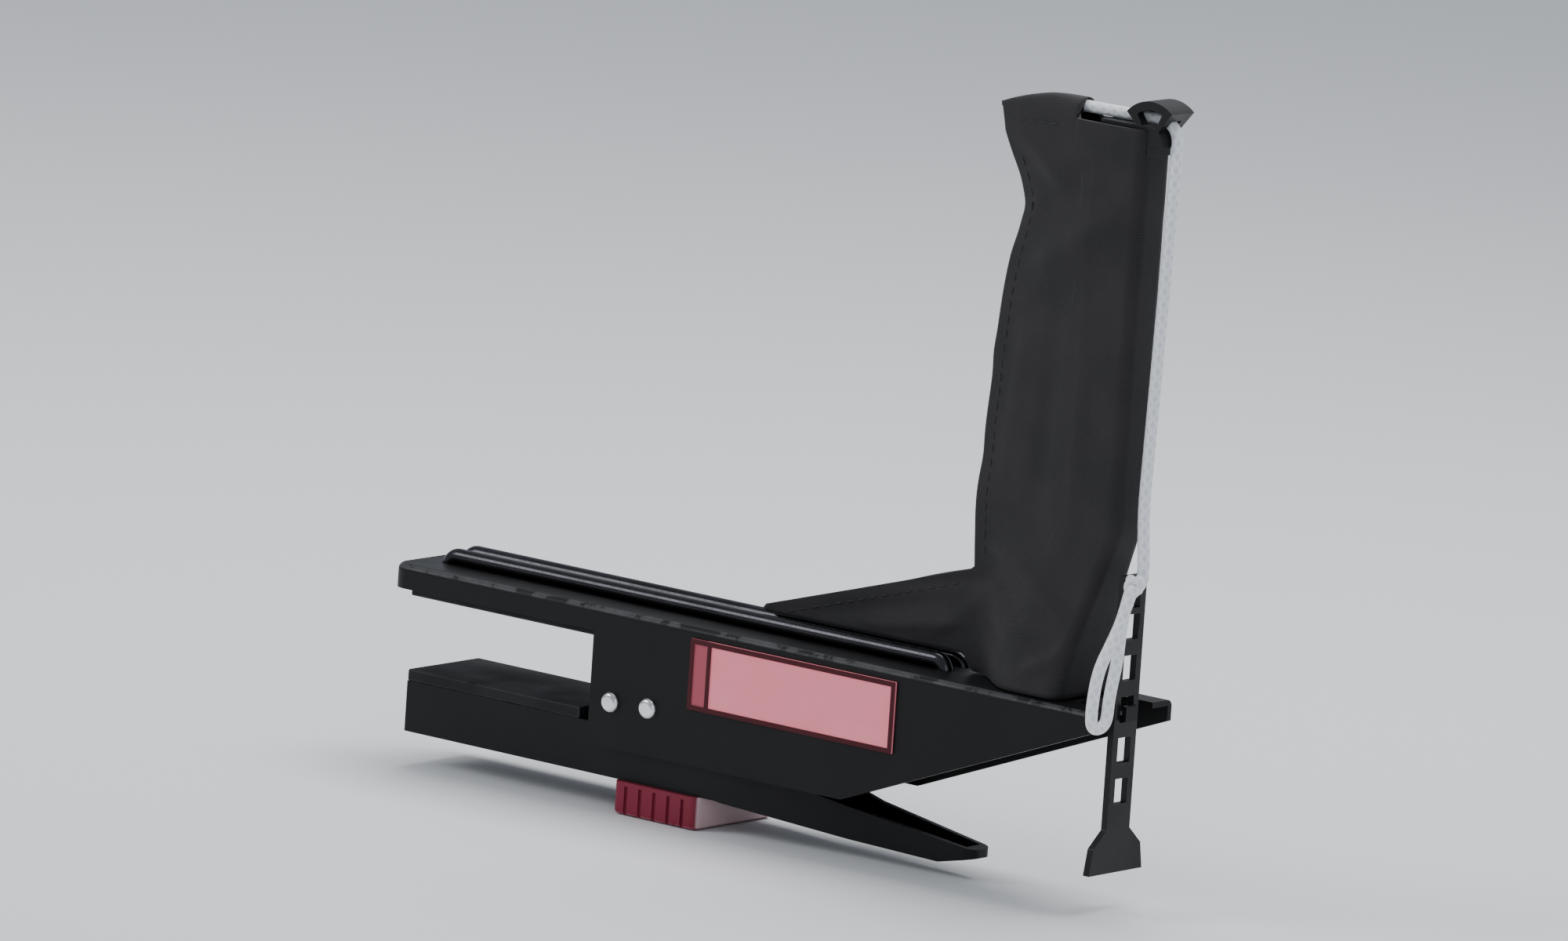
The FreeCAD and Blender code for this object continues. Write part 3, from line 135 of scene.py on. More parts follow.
def new_piece(name, bm, material, body):
    """Make a finished piece from a bmesh, painted and riding on a body."""
    mesh = bpy.data.meshes.new(name)
    bm.to_mesh(mesh)
    bm.free()
    mesh.materials.append(material)
    for polygon in mesh.polygons:
        polygon.use_smooth = True
    piece = bpy.data.objects.new(name, mesh)
    bpy.context.scene.collection.objects.link(piece)
    if body:
        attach(piece, body)
    return piece


def even_shading(piece):
    """Keep large flats flat beside their eased edges."""
    modifier = piece.modifiers.new("even_shading", "WEIGHTED_NORMAL")
    modifier.mode = "FACE_AREA"
    modifier.weight = 100


def joined_copy(node):
    """A bmesh of a CAD piece with its loose triangles joined at their corners."""
    bm = bmesh.new()
    bm.from_mesh(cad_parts[node].data)
    bmesh.ops.remove_doubles(bm, verts=bm.verts, dist=SAME_PLACE * MM)
    return bm


def make_eased(node, radius, material, body):
    """A copy of a hard CAD piece with its sharp edges eased, which stands for the piece."""
    bm = joined_copy(node)
    bmesh.ops.dissolve_limit(
        bm, angle_limit=math.radians(FLAT_ANGLE), use_dissolve_boundaries=False,
        verts=bm.verts, edges=bm.edges, delimit=set())
    sharp = math.radians(SHARP_ANGLE)
    edges = [
        edge for edge in bm.edges
        if len(edge.link_faces) == 2 and edge.calc_face_angle() > sharp]
    wear_and_highlight_layer = bm.faces.layers.float.new("wear_and_fold_highlight")
    made = bmesh.ops.bevel(
        bm, geom=edges, offset=radius * MM, offset_type="OFFSET", affect="EDGES",
        segments=EASED_STEPS, profile=0.5, material=-1, clamp_overlap=True)
    # the mask holds a painted highlight on the rounded folds and real wear on the eased edges
    for face in bm.faces:
        lean = min(abs(face.normal.y), abs(face.normal.z))
        face[wear_and_highlight_layer] = FOLD_HIGHLIGHT * smooth(lean, *FOLD_LEAN)
    for face in made["faces"]:
        face[wear_and_highlight_layer] = 1.0
    piece = new_piece("dressed_" + node, bm, material, body)
    even_shading(piece)
    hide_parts(node)


def smooth_route(points, name):
    """Points along the smooth line that the route's points control."""
    curve = bpy.data.curves.new(name, "CURVE")
    curve.dimensions = "3D"
    curve.resolution_u = ROUTE_STEPS
    spline = curve.splines.new("NURBS")
    spline.points.add(len(points) - 1)
    for point, place in zip(spline.points, points):
        point.co = (*at(*place), 1.0)
    spline.order_u = 3
    spline.use_endpoint_u = True
    holder = bpy.data.objects.new(name, curve)
    bpy.context.scene.collection.objects.link(holder)
    bpy.context.view_layer.update()
    line = bpy.data.meshes.new_from_object(holder)
    places = [vertex.co.copy() for vertex in line.vertices]
    bpy.data.objects.remove(holder)
    bpy.data.meshes.remove(line)
    return places


def tube_along(places, radius, sides):
    """Sweep a round cord along a line by extruding its end ring from place to place."""
    bm = bmesh.new()
    ring = bmesh.ops.create_circle(bm, cap_ends=False, segments=sides, radius=radius)["verts"]
    heading = (places[1] - places[0]).normalized()
    turn = Vector((0, 0, 1)).rotation_difference(heading).to_matrix()
    bmesh.ops.rotate(bm, verts=ring, cent=(0, 0, 0), matrix=turn)
    bmesh.ops.translate(bm, verts=ring, vec=places[0])
    edges = list(bm.edges)
    run = bm.verts.layers.float.new("run")
    travelled = 0.0
    for index in range(1, len(places)):
        step = places[index] - places[index - 1]
        travelled += step.length
        after = places[min(index + 1, len(places) - 1)] - places[index - 1]
        bend = heading.rotation_difference(after.normalized()).to_matrix()
        heading = after.normalized()
        made = bmesh.ops.extrude_edge_only(bm, edges=edges)["geom"]
        ring = [thing for thing in made if isinstance(thing, bmesh.types.BMVert)]
        edges = [thing for thing in made if isinstance(thing, bmesh.types.BMEdge)]
        bmesh.ops.translate(bm, verts=ring, vec=step)
        bmesh.ops.rotate(bm, verts=ring, cent=places[index], matrix=bend)
        for vertex in ring:
            vertex[run] = travelled
    bmesh.ops.holes_fill(bm, edges=[edge for edge in bm.edges if edge.is_boundary], sides=0)
    bmesh.ops.recalc_face_normals(bm, faces=bm.faces)
    return bm


# Shader building

class Mixer:
    """Adds nodes to a material or group and joins them as it goes."""

    def __init__(self, tree):
        self.tree = tree

    def put(self, socket, value):
        """Join a value that changes over the surface, or set a constant."""
        if isinstance(value, bpy.types.NodeSocket):
            self.tree.links.new(value, socket)
        else:
            socket.default_value = value

    def add(self, kind, inputs=None, **settings):
        node = self.tree.nodes.new(kind)
        for name, value in settings.items():
            setattr(node, name, value)
        for name, value in (inputs or {}).items():
            self.put(node.inputs[name], value)
        return node

    def grouped(self, name, **inputs):
        """The outputs of one of the shared effects."""
        node = self.add("ShaderNodeGroup", node_tree=GROUPS[name])
        for socket, value in inputs.items():
            self.put(node.inputs[socket], value)
        return node.outputs

    def maths(self, operation, first, second=0.0, third=None):
        inputs = {0: first, 1: second}
        if third is not None:
            inputs[2] = third
        return self.add("ShaderNodeMath", inputs, operation=operation).outputs[0]

    def ramp(self, value, low, high, to_low=0.0, to_high=1.0):
        node = self.add("ShaderNodeMapRange", {
            "Value": value, "From Min": low, "From Max": high,
            "To Min": to_low, "To Max": to_high}, interpolation_type="SMOOTHSTEP")
        return node.outputs["Result"]

    def tint(self, share, first, second):
        """A mix of two colours. The colour sockets of this node have numbers of their own."""
        share_socket, first_socket, second_socket, colour_output = 0, 6, 7, 2
        inputs = {share_socket: share, first_socket: first, second_socket: second}
        return self.add("ShaderNodeMix", inputs, data_type="RGBA").outputs[colour_output]

    def noise(self, place, scale, detail, roughness=0.5):
        node = self.add("ShaderNodeTexNoise", {
            "Vector": place, "Scale": scale, "Detail": detail, "Roughness": roughness})
        return node.outputs["Fac"]

    def apart(self, place):
        return self.add("ShaderNodeSeparateXYZ", {0: place}).outputs

    def place(self):
        return self.add("ShaderNodeTexCoord").outputs["Object"]

    def spot(self, name, output):
        """A value that the mesh carries."""
        return self.add("ShaderNodeAttribute", attribute_name=name).outputs[output]


FLOAT = "NodeSocketFloat"
VECTOR = "NodeSocketVector"
GROUPS = {}


def new_group(name, inputs, outputs):
    """An effect with named inputs and outputs, for more than one material."""
    group = bpy.data.node_groups.new(name, "ShaderNodeTree")
    for socket, kind, value in inputs:
        made = group.interface.new_socket(socket, in_out="INPUT", socket_type=kind)
        if value is not None:
            made.default_value = value
    for socket, kind in outputs:
        group.interface.new_socket(socket, in_out="OUTPUT", socket_type=kind)
    GROUPS[name] = group
    mixer = Mixer(group)
    start = mixer.add("NodeGroupInput").outputs
    end = mixer.add("NodeGroupOutput").inputs
    return mixer, start, end


def make_wear_and_highlight_group():
    """Worn edges with a painted highlight on the rounded folds: a broken mask along the eased edges
    and folds.
    """
    mixer, start, end = new_group(
        "edge_wear_and_highlight",
        [("Place", VECTOR, None), ("Edge", FLOAT, 0.0), ("Amount", FLOAT, 0.5)],
        [("Mask", FLOAT)])
    patches = mixer.noise(start["Place"], scale=160.0, detail=4.0, roughness=0.6)
    limit = mixer.maths("SUBTRACT", 1.0, start["Amount"])
    broken = mixer.maths("GREATER_THAN", patches, limit)
    soft = mixer.ramp(patches, low=0.35, high=0.7)
    mean = mixer.maths("MULTIPLY", mixer.maths("ADD", broken, soft), 0.5)
    mixer.put(end["Mask"], mixer.maths("MULTIPLY", mean, start["Edge"]))


def make_grain_group():
    """Fine surface grain: a height for bump and an uneven tone."""
    mixer, start, end = new_group(
        "surface_grain",
        [("Place", VECTOR, None), ("Size", FLOAT, 900.0)],
        [("Height", FLOAT), ("Tone", FLOAT)])
    fine = mixer.noise(start["Place"], scale=start["Size"], detail=2.0, roughness=0.55)
    broad = mixer.noise(start["Place"], scale=55.0, detail=3.0, roughness=0.55)
    mixer.put(end["Height"], fine)
    mixer.put(end["Tone"], broad)


def make_weave_group():
    """Plain weave: threads that pass over and under each other."""
    mixer, start, end = new_group(
        "plain_weave",
        [("Cloth", VECTOR, None), ("Threads", FLOAT, 1600.0)],
        [("Height", FLOAT)])
    cloth = mixer.apart(start["Cloth"])
    waves = []
    for side in (0, 1):
        phase = mixer.maths("MULTIPLY", cloth[side], start["Threads"])
        waves.append(mixer.maths("SINE", mixer.maths("MULTIPLY", phase, math.pi)))
    warp = mixer.maths("ABSOLUTE", waves[0])
    weft = mixer.maths("ABSOLUTE", waves[1])
    over = mixer.maths("MULTIPLY", waves[0], waves[1])
    choice = mixer.ramp(over, low=-0.2, high=0.2)
    other = mixer.maths("SUBTRACT", 1.0, choice)
    height = mixer.maths("ADD", mixer.maths("MULTIPLY", warp, choice),
                         mixer.maths("MULTIPLY", weft, other))
    mixer.put(end["Height"], height)


# Materials. Bump depths are in millimetres, and the sizes of grain are counts in a metre.

BADGE_RIM = 16.72               # half the width across the rims of the two badges
BADGE_PANEL = 16.6              # and across their sunk panels
STRIPE_EDGE = (39.4, 39.6)      # reach where the stripe's print ends and the panel's starts
COVER_END = 37.9                # a hair inside the outer end face of the red cover
COVER_SKIN = 0.5                # depth in which its painted highlight starts
BRAID_RATE = 1900.0             # radians of the braid's pattern in a metre of cord
BRAID_STRANDS = 8               # in all, half of them wound each way


def new_material(name):
    """A material with its Principled shader, and a mixer for its nodes."""
    material = bpy.data.materials.new(name)
    material.use_nodes = True
    mixer = Mixer(material.node_tree)
    shader = material.node_tree.nodes["Principled BSDF"]
    return material, mixer, shader


def rgb(red, green, blue):
    return (red, green, blue, 1.0)


def raised(colour, share):
    return rgb(*(part * share for part in colour))


def feed(mixer, shader, colour, roughness=None, height=None, strength=0.3, depth=0.1):
    """Join the changing values to the shader, with the height as a bump of real depth."""
    mixer.put(shader.inputs["Base Color"], colour)
    if roughness is not None:
        mixer.put(shader.inputs["Roughness"], roughness)
    if height is not None:
        bump = mixer.add("ShaderNodeBump", {
            "Height": height, "Strength": strength, "Distance": depth * MM})
        mixer.put(shader.inputs["Normal"], bump.outputs["Normal"])


def settle(shader, **constants):
    """Set plain values of the shader, with an underline for each space in a name."""
    for name, value in constants.items():
        shader.inputs[name.replace("_", " ")].default_value = value


def make_enamel(name, base, rubbed_and_highlit):
    """Baked black enamel on pressed steel, worn paler along its cut edges, with a painted highlight
    along its rounded folds.
    """
    material, mixer, shader = new_material(name)
    place = mixer.place()
    grain = mixer.grouped("surface_grain", Place=place, Size=700.0)
    edge = mixer.spot("wear_and_fold_highlight", "Fac")
    wear_and_highlight_mask = mixer.grouped("edge_wear_and_highlight", Place=place, Edge=edge, Amount=0.55)
    tone = mixer.tint(grain["Tone"], rgb(*base), raised(base, 1.5))
    # paler colour for worn edges and for the painted highlight on the folds
    colour = mixer.tint(wear_and_highlight_mask["Mask"], tone, rgb(*rubbed_and_highlit))
    roughness = mixer.ramp(grain["Tone"], low=0.25, high=0.75, to_low=0.36, to_high=0.5)
    feed(mixer, shader, colour, roughness, grain["Height"], strength=0.25, depth=0.03)
    settle(shader, Specular_IOR_Level=0.18)
    return material


def make_steel(name, base, dark, rough=(0.2, 0.38)):
    """Bare or plated steel with an uneven tone and darker patches."""
    material, mixer, shader = new_material(name)
    grain = mixer.grouped("surface_grain", Place=mixer.place(), Size=900.0)
    stain = mixer.ramp(grain["Tone"], low=0.35, high=0.75)
    colour = mixer.tint(stain, rgb(*base), rgb(*dark))
    smoothest, roughest = rough
    roughness = mixer.ramp(
        grain["Height"], low=0.3, high=0.7, to_low=smoothest, to_high=roughest)
    feed(mixer, shader, colour, roughness, grain["Height"], strength=0.2, depth=0.02)
    settle(shader, Metallic=1.0)
    return material


def make_moulded(name, base, paler_wear_and_highlight, rough=(0.35, 0.5), size=1200.0, strength=0.3, end=None):
    """Moulded plastic or rubber with a fine grain, paler where the edges are worn and with a
    painted highlight along its rounded folds.

    The end is a pale colour painted on the red cover's outer end face as a painted highlight.
    """
    material, mixer, shader = new_material(name)
    place = mixer.place()
    grain = mixer.grouped("surface_grain", Place=place, Size=size)
    edge = mixer.spot("wear_and_fold_highlight", "Fac")
    wear_and_highlight_mask = mixer.grouped("edge_wear_and_highlight", Place=place, Edge=edge, Amount=0.6)
    tone = mixer.tint(grain["Tone"], rgb(*base), raised(base, 1.3))
    # painted highlight: the red cover's outer end face is painted pale
    if end:
        inside = at(COVER_END - COVER_SKIN, 0, 0).x
        outside = at(COVER_END, 0, 0).x
        face = mixer.ramp(mixer.apart(place)[0], low=inside, high=outside)
        tone = mixer.tint(face, tone, rgb(*end))
    # paler tint for worn edges and for the painted highlight on the rounded folds
    colour = mixer.tint(wear_and_highlight_mask["Mask"], tone, rgb(*paler_wear_and_highlight))
    smoothest, roughest = rough
    roughness = mixer.ramp(grain["Tone"], low=0.3, high=0.7, to_low=smoothest, to_high=roughest)
    feed(mixer, shader, colour, roughness, grain["Height"], strength=strength, depth=0.05)
    settle(shader, Specular_IOR_Level=0.25)
    return material


def make_badge_print():
    """Dark red moulded rim with two sunk panels, printed pale and fading."""
    material, mixer, shader = new_material("badge_print")
    place = mixer.place()
    grain = mixer.grouped("surface_grain", Place=place, Size=1100.0)
    along, across = mixer.apart(place)[:2]
    rim_red = rgb(0.055, 0.003, 0.007)
    stripe_red = rgb(0.385, 0.08, 0.11)
    panel_red = rgb(0.95, 0.21, 0.27)
    faded_red = rgb(0.97, 0.33, 0.39)
    sunk = mixer.ramp(
        mixer.maths("ABSOLUTE", across), low=BADGE_RIM * MM, high=BADGE_PANEL * MM)
    past_stripe = mixer.ramp(along, *(at(edge, 0, 0).x for edge in STRIPE_EDGE))
    main = mixer.tint(grain["Tone"], panel_red, faded_red)
    panel = mixer.tint(past_stripe, stripe_red, main)
    colour = mixer.tint(sunk, rim_red, panel)
    roughness = mixer.ramp(grain["Tone"], low=0.3, high=0.7, to_low=0.32, to_high=0.45)
    feed(mixer, shader, colour, roughness, grain["Height"], strength=0.15, depth=0.03)
    settle(shader, Specular_IOR_Level=0.2)
    return material


def make_sleeve_cloth():
    """Black woven polyester with a painted highlight on the tops of its threads, and dusty patches.
    """
    material, mixer, shader = new_material("sleeve_cloth")
    weave = mixer.grouped("plain_weave", Cloth=mixer.spot("cloth", "Vector"), Threads=1500.0)
    grain = mixer.grouped("surface_grain", Place=mixer.place(), Size=240.0)
    black = rgb(0.008, 0.008, 0.009)
    dusty = rgb(0.017, 0.015, 0.016)
    thread_top_highlight = rgb(0.024, 0.022, 0.024)
    dust = mixer.ramp(grain["Tone"], low=0.35, high=0.68)
    # painted highlight: the raised tops of the threads are painted paler
    thread = mixer.ramp(weave["Height"], low=0.2, high=1.0, to_low=0.0, to_high=0.7)
    colour = mixer.tint(thread, mixer.tint(dust, black, dusty), thread_top_highlight)
    weave_share = 0.6
    height = mixer.maths("MULTIPLY_ADD", weave["Height"], weave_share, grain["Height"])
    feed(mixer, shader, colour, None, height, strength=0.5, depth=0.12)
    settle(shader, Roughness=0.72, Specular_IOR_Level=0.3, Sheen_Weight=0.08,
           Sheen_Roughness=0.4)
    return material


def make_cord_braid():
    """White braided cord: strands wind both ways round it, with painted shade in the gaps between
    them.
    """
    material, mixer, shader = new_material("cord_braid")
    run, share = mixer.apart(mixer.spot("braid", "Vector"))[:2]
    along = mixer.maths("MULTIPLY", run, BRAID_RATE)
    around = mixer.maths("MULTIPLY", share, BRAID_STRANDS * math.pi)
    first = mixer.maths("SINE", mixer.maths("ADD", along, around))
    second = mixer.maths("SINE", mixer.maths("SUBTRACT", along, around))
    height = mixer.maths("MAXIMUM", first, second)
    grain = mixer.grouped("surface_grain", Place=mixer.place(), Size=600.0)
    strand_gap_shade = rgb(0.70, 0.73, 0.77)
    soiled = rgb(0.80, 0.82, 0.85)
    clean = rgb(0.92, 0.93, 0.94)
    # painted shade: the gaps between the strands are painted darker
    raised_share = mixer.ramp(height, low=-0.3, high=0.9)
    colour = mixer.tint(raised_share, strand_gap_shade, mixer.tint(grain["Tone"], soiled, clean))
    feed(mixer, shader, colour, None, height, strength=0.4, depth=0.12)
    settle(shader, Roughness=0.6, Sheen_Weight=0.2)
    return material


def make_floor_paint():
    material, mixer, shader = new_material("studio_floor")
    darker = rgb(0.78, 0.79, 0.80)
    lighter = rgb(0.82, 0.83, 0.84)
    tone = mixer.noise(mixer.place(), scale=3.0, detail=2.0)
    feed(mixer, shader, mixer.tint(tone, darker, lighter))
    settle(shader, Roughness=0.7)
    return material


def make_paint():
    """Every material by its short name."""
    make_wear_and_highlight_group()
    make_grain_group()
    make_weave_group()
    return {
        "enamel": make_enamel(
            "black_enamel", base=(0.0042, 0.0042, 0.0046), rubbed_and_highlit=(0.09, 0.09, 0.095)),
        "rubber": make_moulded(
            "black_rubber", base=(0.008, 0.008, 0.009), paler_wear_and_highlight=(0.03, 0.03, 0.03),
            rough=(0.6, 0.8), size=700.0, strength=0.5),
        # the red cover's end colour is a painted highlight on its outer end face
        "red": make_moulded(
            "red_cover", base=(0.17, 0.012, 0.03), paler_wear_and_highlight=(0.45, 0.14, 0.19),
            end=(0.58, 0.41, 0.43)),
        "plastic": make_moulded(
            "black_plastic", base=(0.007, 0.007, 0.0075), paler_wear_and_highlight=(0.04, 0.04, 0.04)),
        "thread": make_moulded(
            "seam_thread", base=(0.020, 0.020, 0.022), paler_wear_and_highlight=(0.03, 0.03, 0.03),
            rough=(0.5, 0.7), size=2600.0, strength=0.5),
        "rivet": make_steel(
            "rivet_steel", base=(0.86, 0.86, 0.87), dark=(0.62, 0.62, 0.64), rough=(0.12, 0.25)),
        "zinc": make_steel("zinc_steel", base=(0.66, 0.67, 0.69), dark=(0.42, 0.42, 0.43)),
        "spring": make_steel("spring_steel", base=(0.30, 0.30, 0.31), dark=(0.10, 0.09, 0.09)),
        "wire": make_steel(
            "dark_chrome_wire", base=(0.045, 0.045, 0.05), dark=(0.03, 0.03, 0.032),
            rough=(0.16, 0.28)),
        "badge": make_badge_print(),
        "cloth": make_sleeve_cloth(),
        "cord": make_cord_braid(),
        "floor": make_floor_paint(),
    }


# Net cord, its tail and its knot. The routes are reach, side and height.

CORD_ROUTE = [
    (120.5, 0.0, 152.2),
    (139.0, 0.0, 152.2),
    (154.0, 0.0, 152.2),
    (158.5, 0.0, 152.2),
    (161.6, 0.0, 149.1),
    (161.5, 0.0, 144.5),
    (161.2, 0.0, 131.0),
    (159.6, 0.0, 69.0),
    (159.2, 0.0, 56.0),
    (160.5, 0.0, 43.0),
    (160.4, 0.0, 37.9),
    (157.3, 0.0, 35.4),
]
TAIL_ROUTE = [
    (162.0, -5.6, 38.2),
    (162.4, -8.2, 34.6),
    (162.4, -10.0, 30.0),
    (162.4, -13.2, 25.2),
    (162.3, -17.6, 19.0),
    (162.1, -18.9, 10.5),
    (162.1, -18.6, 4.2),
    (162.1, -12.6, 4.6),
    (162.0, -12.1, 12.0),
    (161.6, -9.4, 20.0),
    (160.9, -8.0, 26.5),
    (160.4, -6.6, 31.6),
    (160.5, -4.6, 37.2),
]
# The knot's line goes twice round while it weaves in and out three times, as an overhand knot
# does. Its sizes are shares of half the knot's width.
KNOT_POINTS = 60
KNOT_CLOSED = 0.985             # share of the line that is drawn, so that its ends don't meet
KNOT_STRAND = 0.42
KNOT_LOOP = 0.50
KNOT_SWELL = 0.10
KNOT_SQUEEZE = 0.95
KNOT_DEPTH = 0.52
KNOT_ROUNDS = 2
KNOT_WEAVES = 3


def mark_braid(piece, sides):
    """Give each point of a cord its run along the cord and its share of the way round."""
    mesh = piece.data
    braid = mesh.attributes.new("braid", "FLOAT_VECTOR", "CORNER")
    run = mesh.attributes["run"].data
    values = []
    for polygon in mesh.polygons:
        corners = [mesh.loops[index].vertex_index for index in polygon.loop_indices]
        shares = [(corner % sides) / sides for corner in corners]
        wraps = max(shares) - min(shares) > 0.5
        for corner, share in zip(corners, shares):
            if wraps and share < 0.5:
                share += 1.0
            values += [run[corner].value, share, 0.0]
    braid.data.foreach_set("vector", values)


def make_cords(paint):
    route = smooth_route(CORD_ROUTE, "net_cord_line")
    cord = new_piece("white_net_cord", tube_along(route, CORD / 2 * MM, CORD_SIDES),
                     paint["cord"], None)
    mark_braid(cord, CORD_SIDES)
    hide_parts("net_cord")
    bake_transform(cord)

    tail_route = smooth_route(TAIL_ROUTE, "tail_line")
    tail = new_piece("cord_loop", tube_along(tail_route, CORD / 2 * MM, CORD_SIDES),
                     paint["cord"], "strap")
    mark_braid(tail, CORD_SIDES)
    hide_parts("cord_tail")

    knot = make_knot(paint)


def make_knot(paint):
    """Overhand knot pulled tight on the strap's outer face: three turns that cross."""
    low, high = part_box("cord_knot")
    middle = (low + high) / 2
    size = (high.x - low.x) / 2
    places = []
    for index in range(KNOT_POINTS):
        angle = 2 * math.pi * index / (KNOT_POINTS - 1) * KNOT_CLOSED
        away = size * (KNOT_LOOP + KNOT_SWELL * math.cos(KNOT_WEAVES * angle))
        places.append(middle + Vector((
            away * math.cos(KNOT_ROUNDS * angle) * KNOT_SQUEEZE,
            away * math.sin(KNOT_ROUNDS * angle),
            size * KNOT_DEPTH * math.sin(KNOT_WEAVES * angle))))
    knot = new_piece("cord_knot_turns", tube_along(places, size * KNOT_STRAND, KNOT_SIDES),
                     paint["cord"], "strap")
    mark_braid(knot, KNOT_SIDES)
    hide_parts("cord_knot")
    return knot


# Fabric sleeve round the post, and the gusset of it that runs to the lower corner of the net

# Height, inner edge, outer edge and half thickness at the post. The wavy inner edge is where the
# net pulls on the cloth.
SLEEVE_LEVELS = [
    (8.4, 112.0, 146.4, 13.2),
    (14.0, 110.2, 146.6, 11.6),
    (22.0, 109.6, 147.4, 9.6),
    (33.8, 109.4, 150.4, 7.2),
    (41.2, 108.9, 152.8, 6.6),
    (51.0, 108.5, 155.7, 6.0),
    (62.0, 109.2, 155.7, 6.0),
    (74.0, 110.1, 155.7, 6.0),
    (85.0, 111.0, 155.7, 6.0),
    (101.6, 112.2, 155.7, 6.0),
    (112.6, 113.8, 155.8, 6.0),
    (120.5, 116.1, 155.9, 6.0),
    (127.1, 116.6, 155.9, 6.0),
    (131.3, 115.6, 156.0, 6.0),
    (138.3, 112.0, 156.0, 6.0),
    (144.3, 109.0, 156.0, 6.0),
    (149.8, 106.8, 156.0, 6.0),
]
SLEEVE_LOW = 8.4                # height of the sleeve's lowest row on the arm
SEAM_HALF = 1.25                # half the thickness of the two layers at the seam
SHOULDER = 14.8                 # length of the flank along the post, its corner's radius included
CORNER = 3.0                    # radius of the cloth round the post's outer corners
CORNER_EASE = 1.0               # how far before the corner the folds start to fade
GUSSET_INNER = 44.0             # reach of the gusset's tip
GUSSET_TIP = 14.0               # and its height
GUSSET_TOP = 33.8               # height where the gusset meets the sleeve's inner edge
GUSSET_TOP_REACH = 109.4        # and its reach there
OVER_RAILS = 12.3               # height of the lowest row where it lies over the wire rails
OFF_RAILS = (107.4, 111.0)      # reach where that row comes down from the rails to the arm
STRAIGHT_SLANT = 62.0           # height above which the cloth runs straight from seam to post
BELLY = 0.5                     # how far that straight part still swells
OPENING = 14.0                  # distance from the seam at which the two layers fold alone
SETTLING = 3.0                  # height above the foot at which the web's folds are full
POST_NEAR = 4.0                 # distance before the shoulder at which the post lies behind
DEEPEST_ON_POST = -0.25         # deepest hollow that the post behind the cloth allows
DEEPEST = -1.0
UNEVEN = 0.30                   # height of the small unevenness
UNEVEN_RATE = (0.11, 0.07)      # and how fast it changes with reach and height
RIDGE_FADE = 0.46               # share of a ridge's run, from its middle, where a third is left
BODY_SHARE = 0.93               # share of the sheet's rows below the hem
HEM_START = 143.0               # height of the hem's foot
HEM_END = 134.0                 # reach of the hem's mouth, where the cord comes out
HEM_EASE = 0.6                  # half the length in which the cloth opens there
HEM_ROWS = 6.6                  # height of the hem's rows past its mouth
HEM_SIDE_POWER = 0.7            # roundness of the hem's side and top
HEM_TOP_POWER = 0.9
# Reach and height along the top of the hem
HEM_LINE = [(106.6, 149.6), (111.0, 151.2), (117.0, 152.9), (124.0, 154.2), (134.0, 154.4)]
CLOTH_COLUMNS = 190             # faces across and up the sheet
CLOTH_ROWS = 128

# Start, end, width and depth of the ridges, and of the hollows where the depth is negative
NEAR_FOLDS = [
    ((122, 111), (150, 127), 4.4, 1.5),
    ((116, 122), (150, 139), 3.6, -0.8),
    ((120, 100), (150, 113), 4.0, -0.7),
    ((108, 146), (132, 133), 2.6, 0.7),
    ((112, 88), (146, 100), 4.2, 0.5),
    ((112, 41), (129, 37), 2.0, 1.5),
    ((126, 38), (144, 28), 2.0, 1.4),
    ((110, 35), (142, 20), 2.2, -1.3),
    ((112, 30), (143, 14), 1.9, 1.3),
    ((108, 24), (134, 11), 2.2, -1.0),
    ((132, 12), (149, 22), 1.9, 0.9),
    ((148, 20), (152, 40), 1.8, 0.7),
    ((112, 52), (146, 44), 3.2, -0.7),
    ((116, 58), (122, 98), 3.2, 0.6),
    ((130, 50), (133, 104), 3.6, -0.6),
    ((141, 54), (143, 96), 3.0, 0.35),
]
FAR_FOLDS = [
    ((114, 124), (150, 116), 3.4, 1.0),
    ((110, 134), (146, 138), 2.8, -0.7),
    ((112, 108), (146, 98), 3.6, -0.6),
    ((110, 38), (144, 27), 2.1, 1.3),
    ((110, 31), (140, 17), 2.2, -1.0),
    ((112, 25), (138, 11), 1.9, 1.1),
    ((124, 48), (150, 36), 2.8, 0.7),
    ((122, 56), (118, 100), 3.4, 0.6),
    ((136, 60), (132, 108), 3.8, -0.5),
]
# These move both layers of the web together
WEB_FOLDS = [
    ((58, 14), (104, 25), 2.4, 0.7),
    ((76, 14), (110, 20), 1.8, -0.6),
    ((88, 27), (120, 33), 1.8, 0.7),
    ((96, 14), (124, 36), 2.2, -0.5),
    ((106, 120), (122, 128), 2.6, 0.8),
    ((104, 60), (120, 66), 4.0, 0.5),
    ((104, 92), (120, 84), 4.0, -0.6),
]


def eased_between(levels, height):
    """Smooth values between the listed heights."""
    if height <= levels[0][0]:
        return levels[0][1:]
    for index in range(1, len(levels)):
        low, high = levels[index - 1], levels[index]
        if height <= high[0]:
            before = levels[max(index - 2, 0)]
            after = levels[min(index + 1, len(levels) - 1)]
            span = high[0] - low[0]
            share = (height - low[0]) / span
            square, cube = share ** 2, share ** 3
            values = []
            for part in range(1, len(low)):
                slope_in = (high[part] - before[part]) / (high[0] - before[0]) * span
                slope_out = (after[part] - low[part]) / (after[0] - low[0]) * span
                values.append(
                    (2 * cube - 3 * square + 1) * low[part] + (cube - 2 * square + share) * slope_in
                    + (3 * square - 2 * cube) * high[part] + (cube - square) * slope_out)
            return values
    return levels[-1][1:]


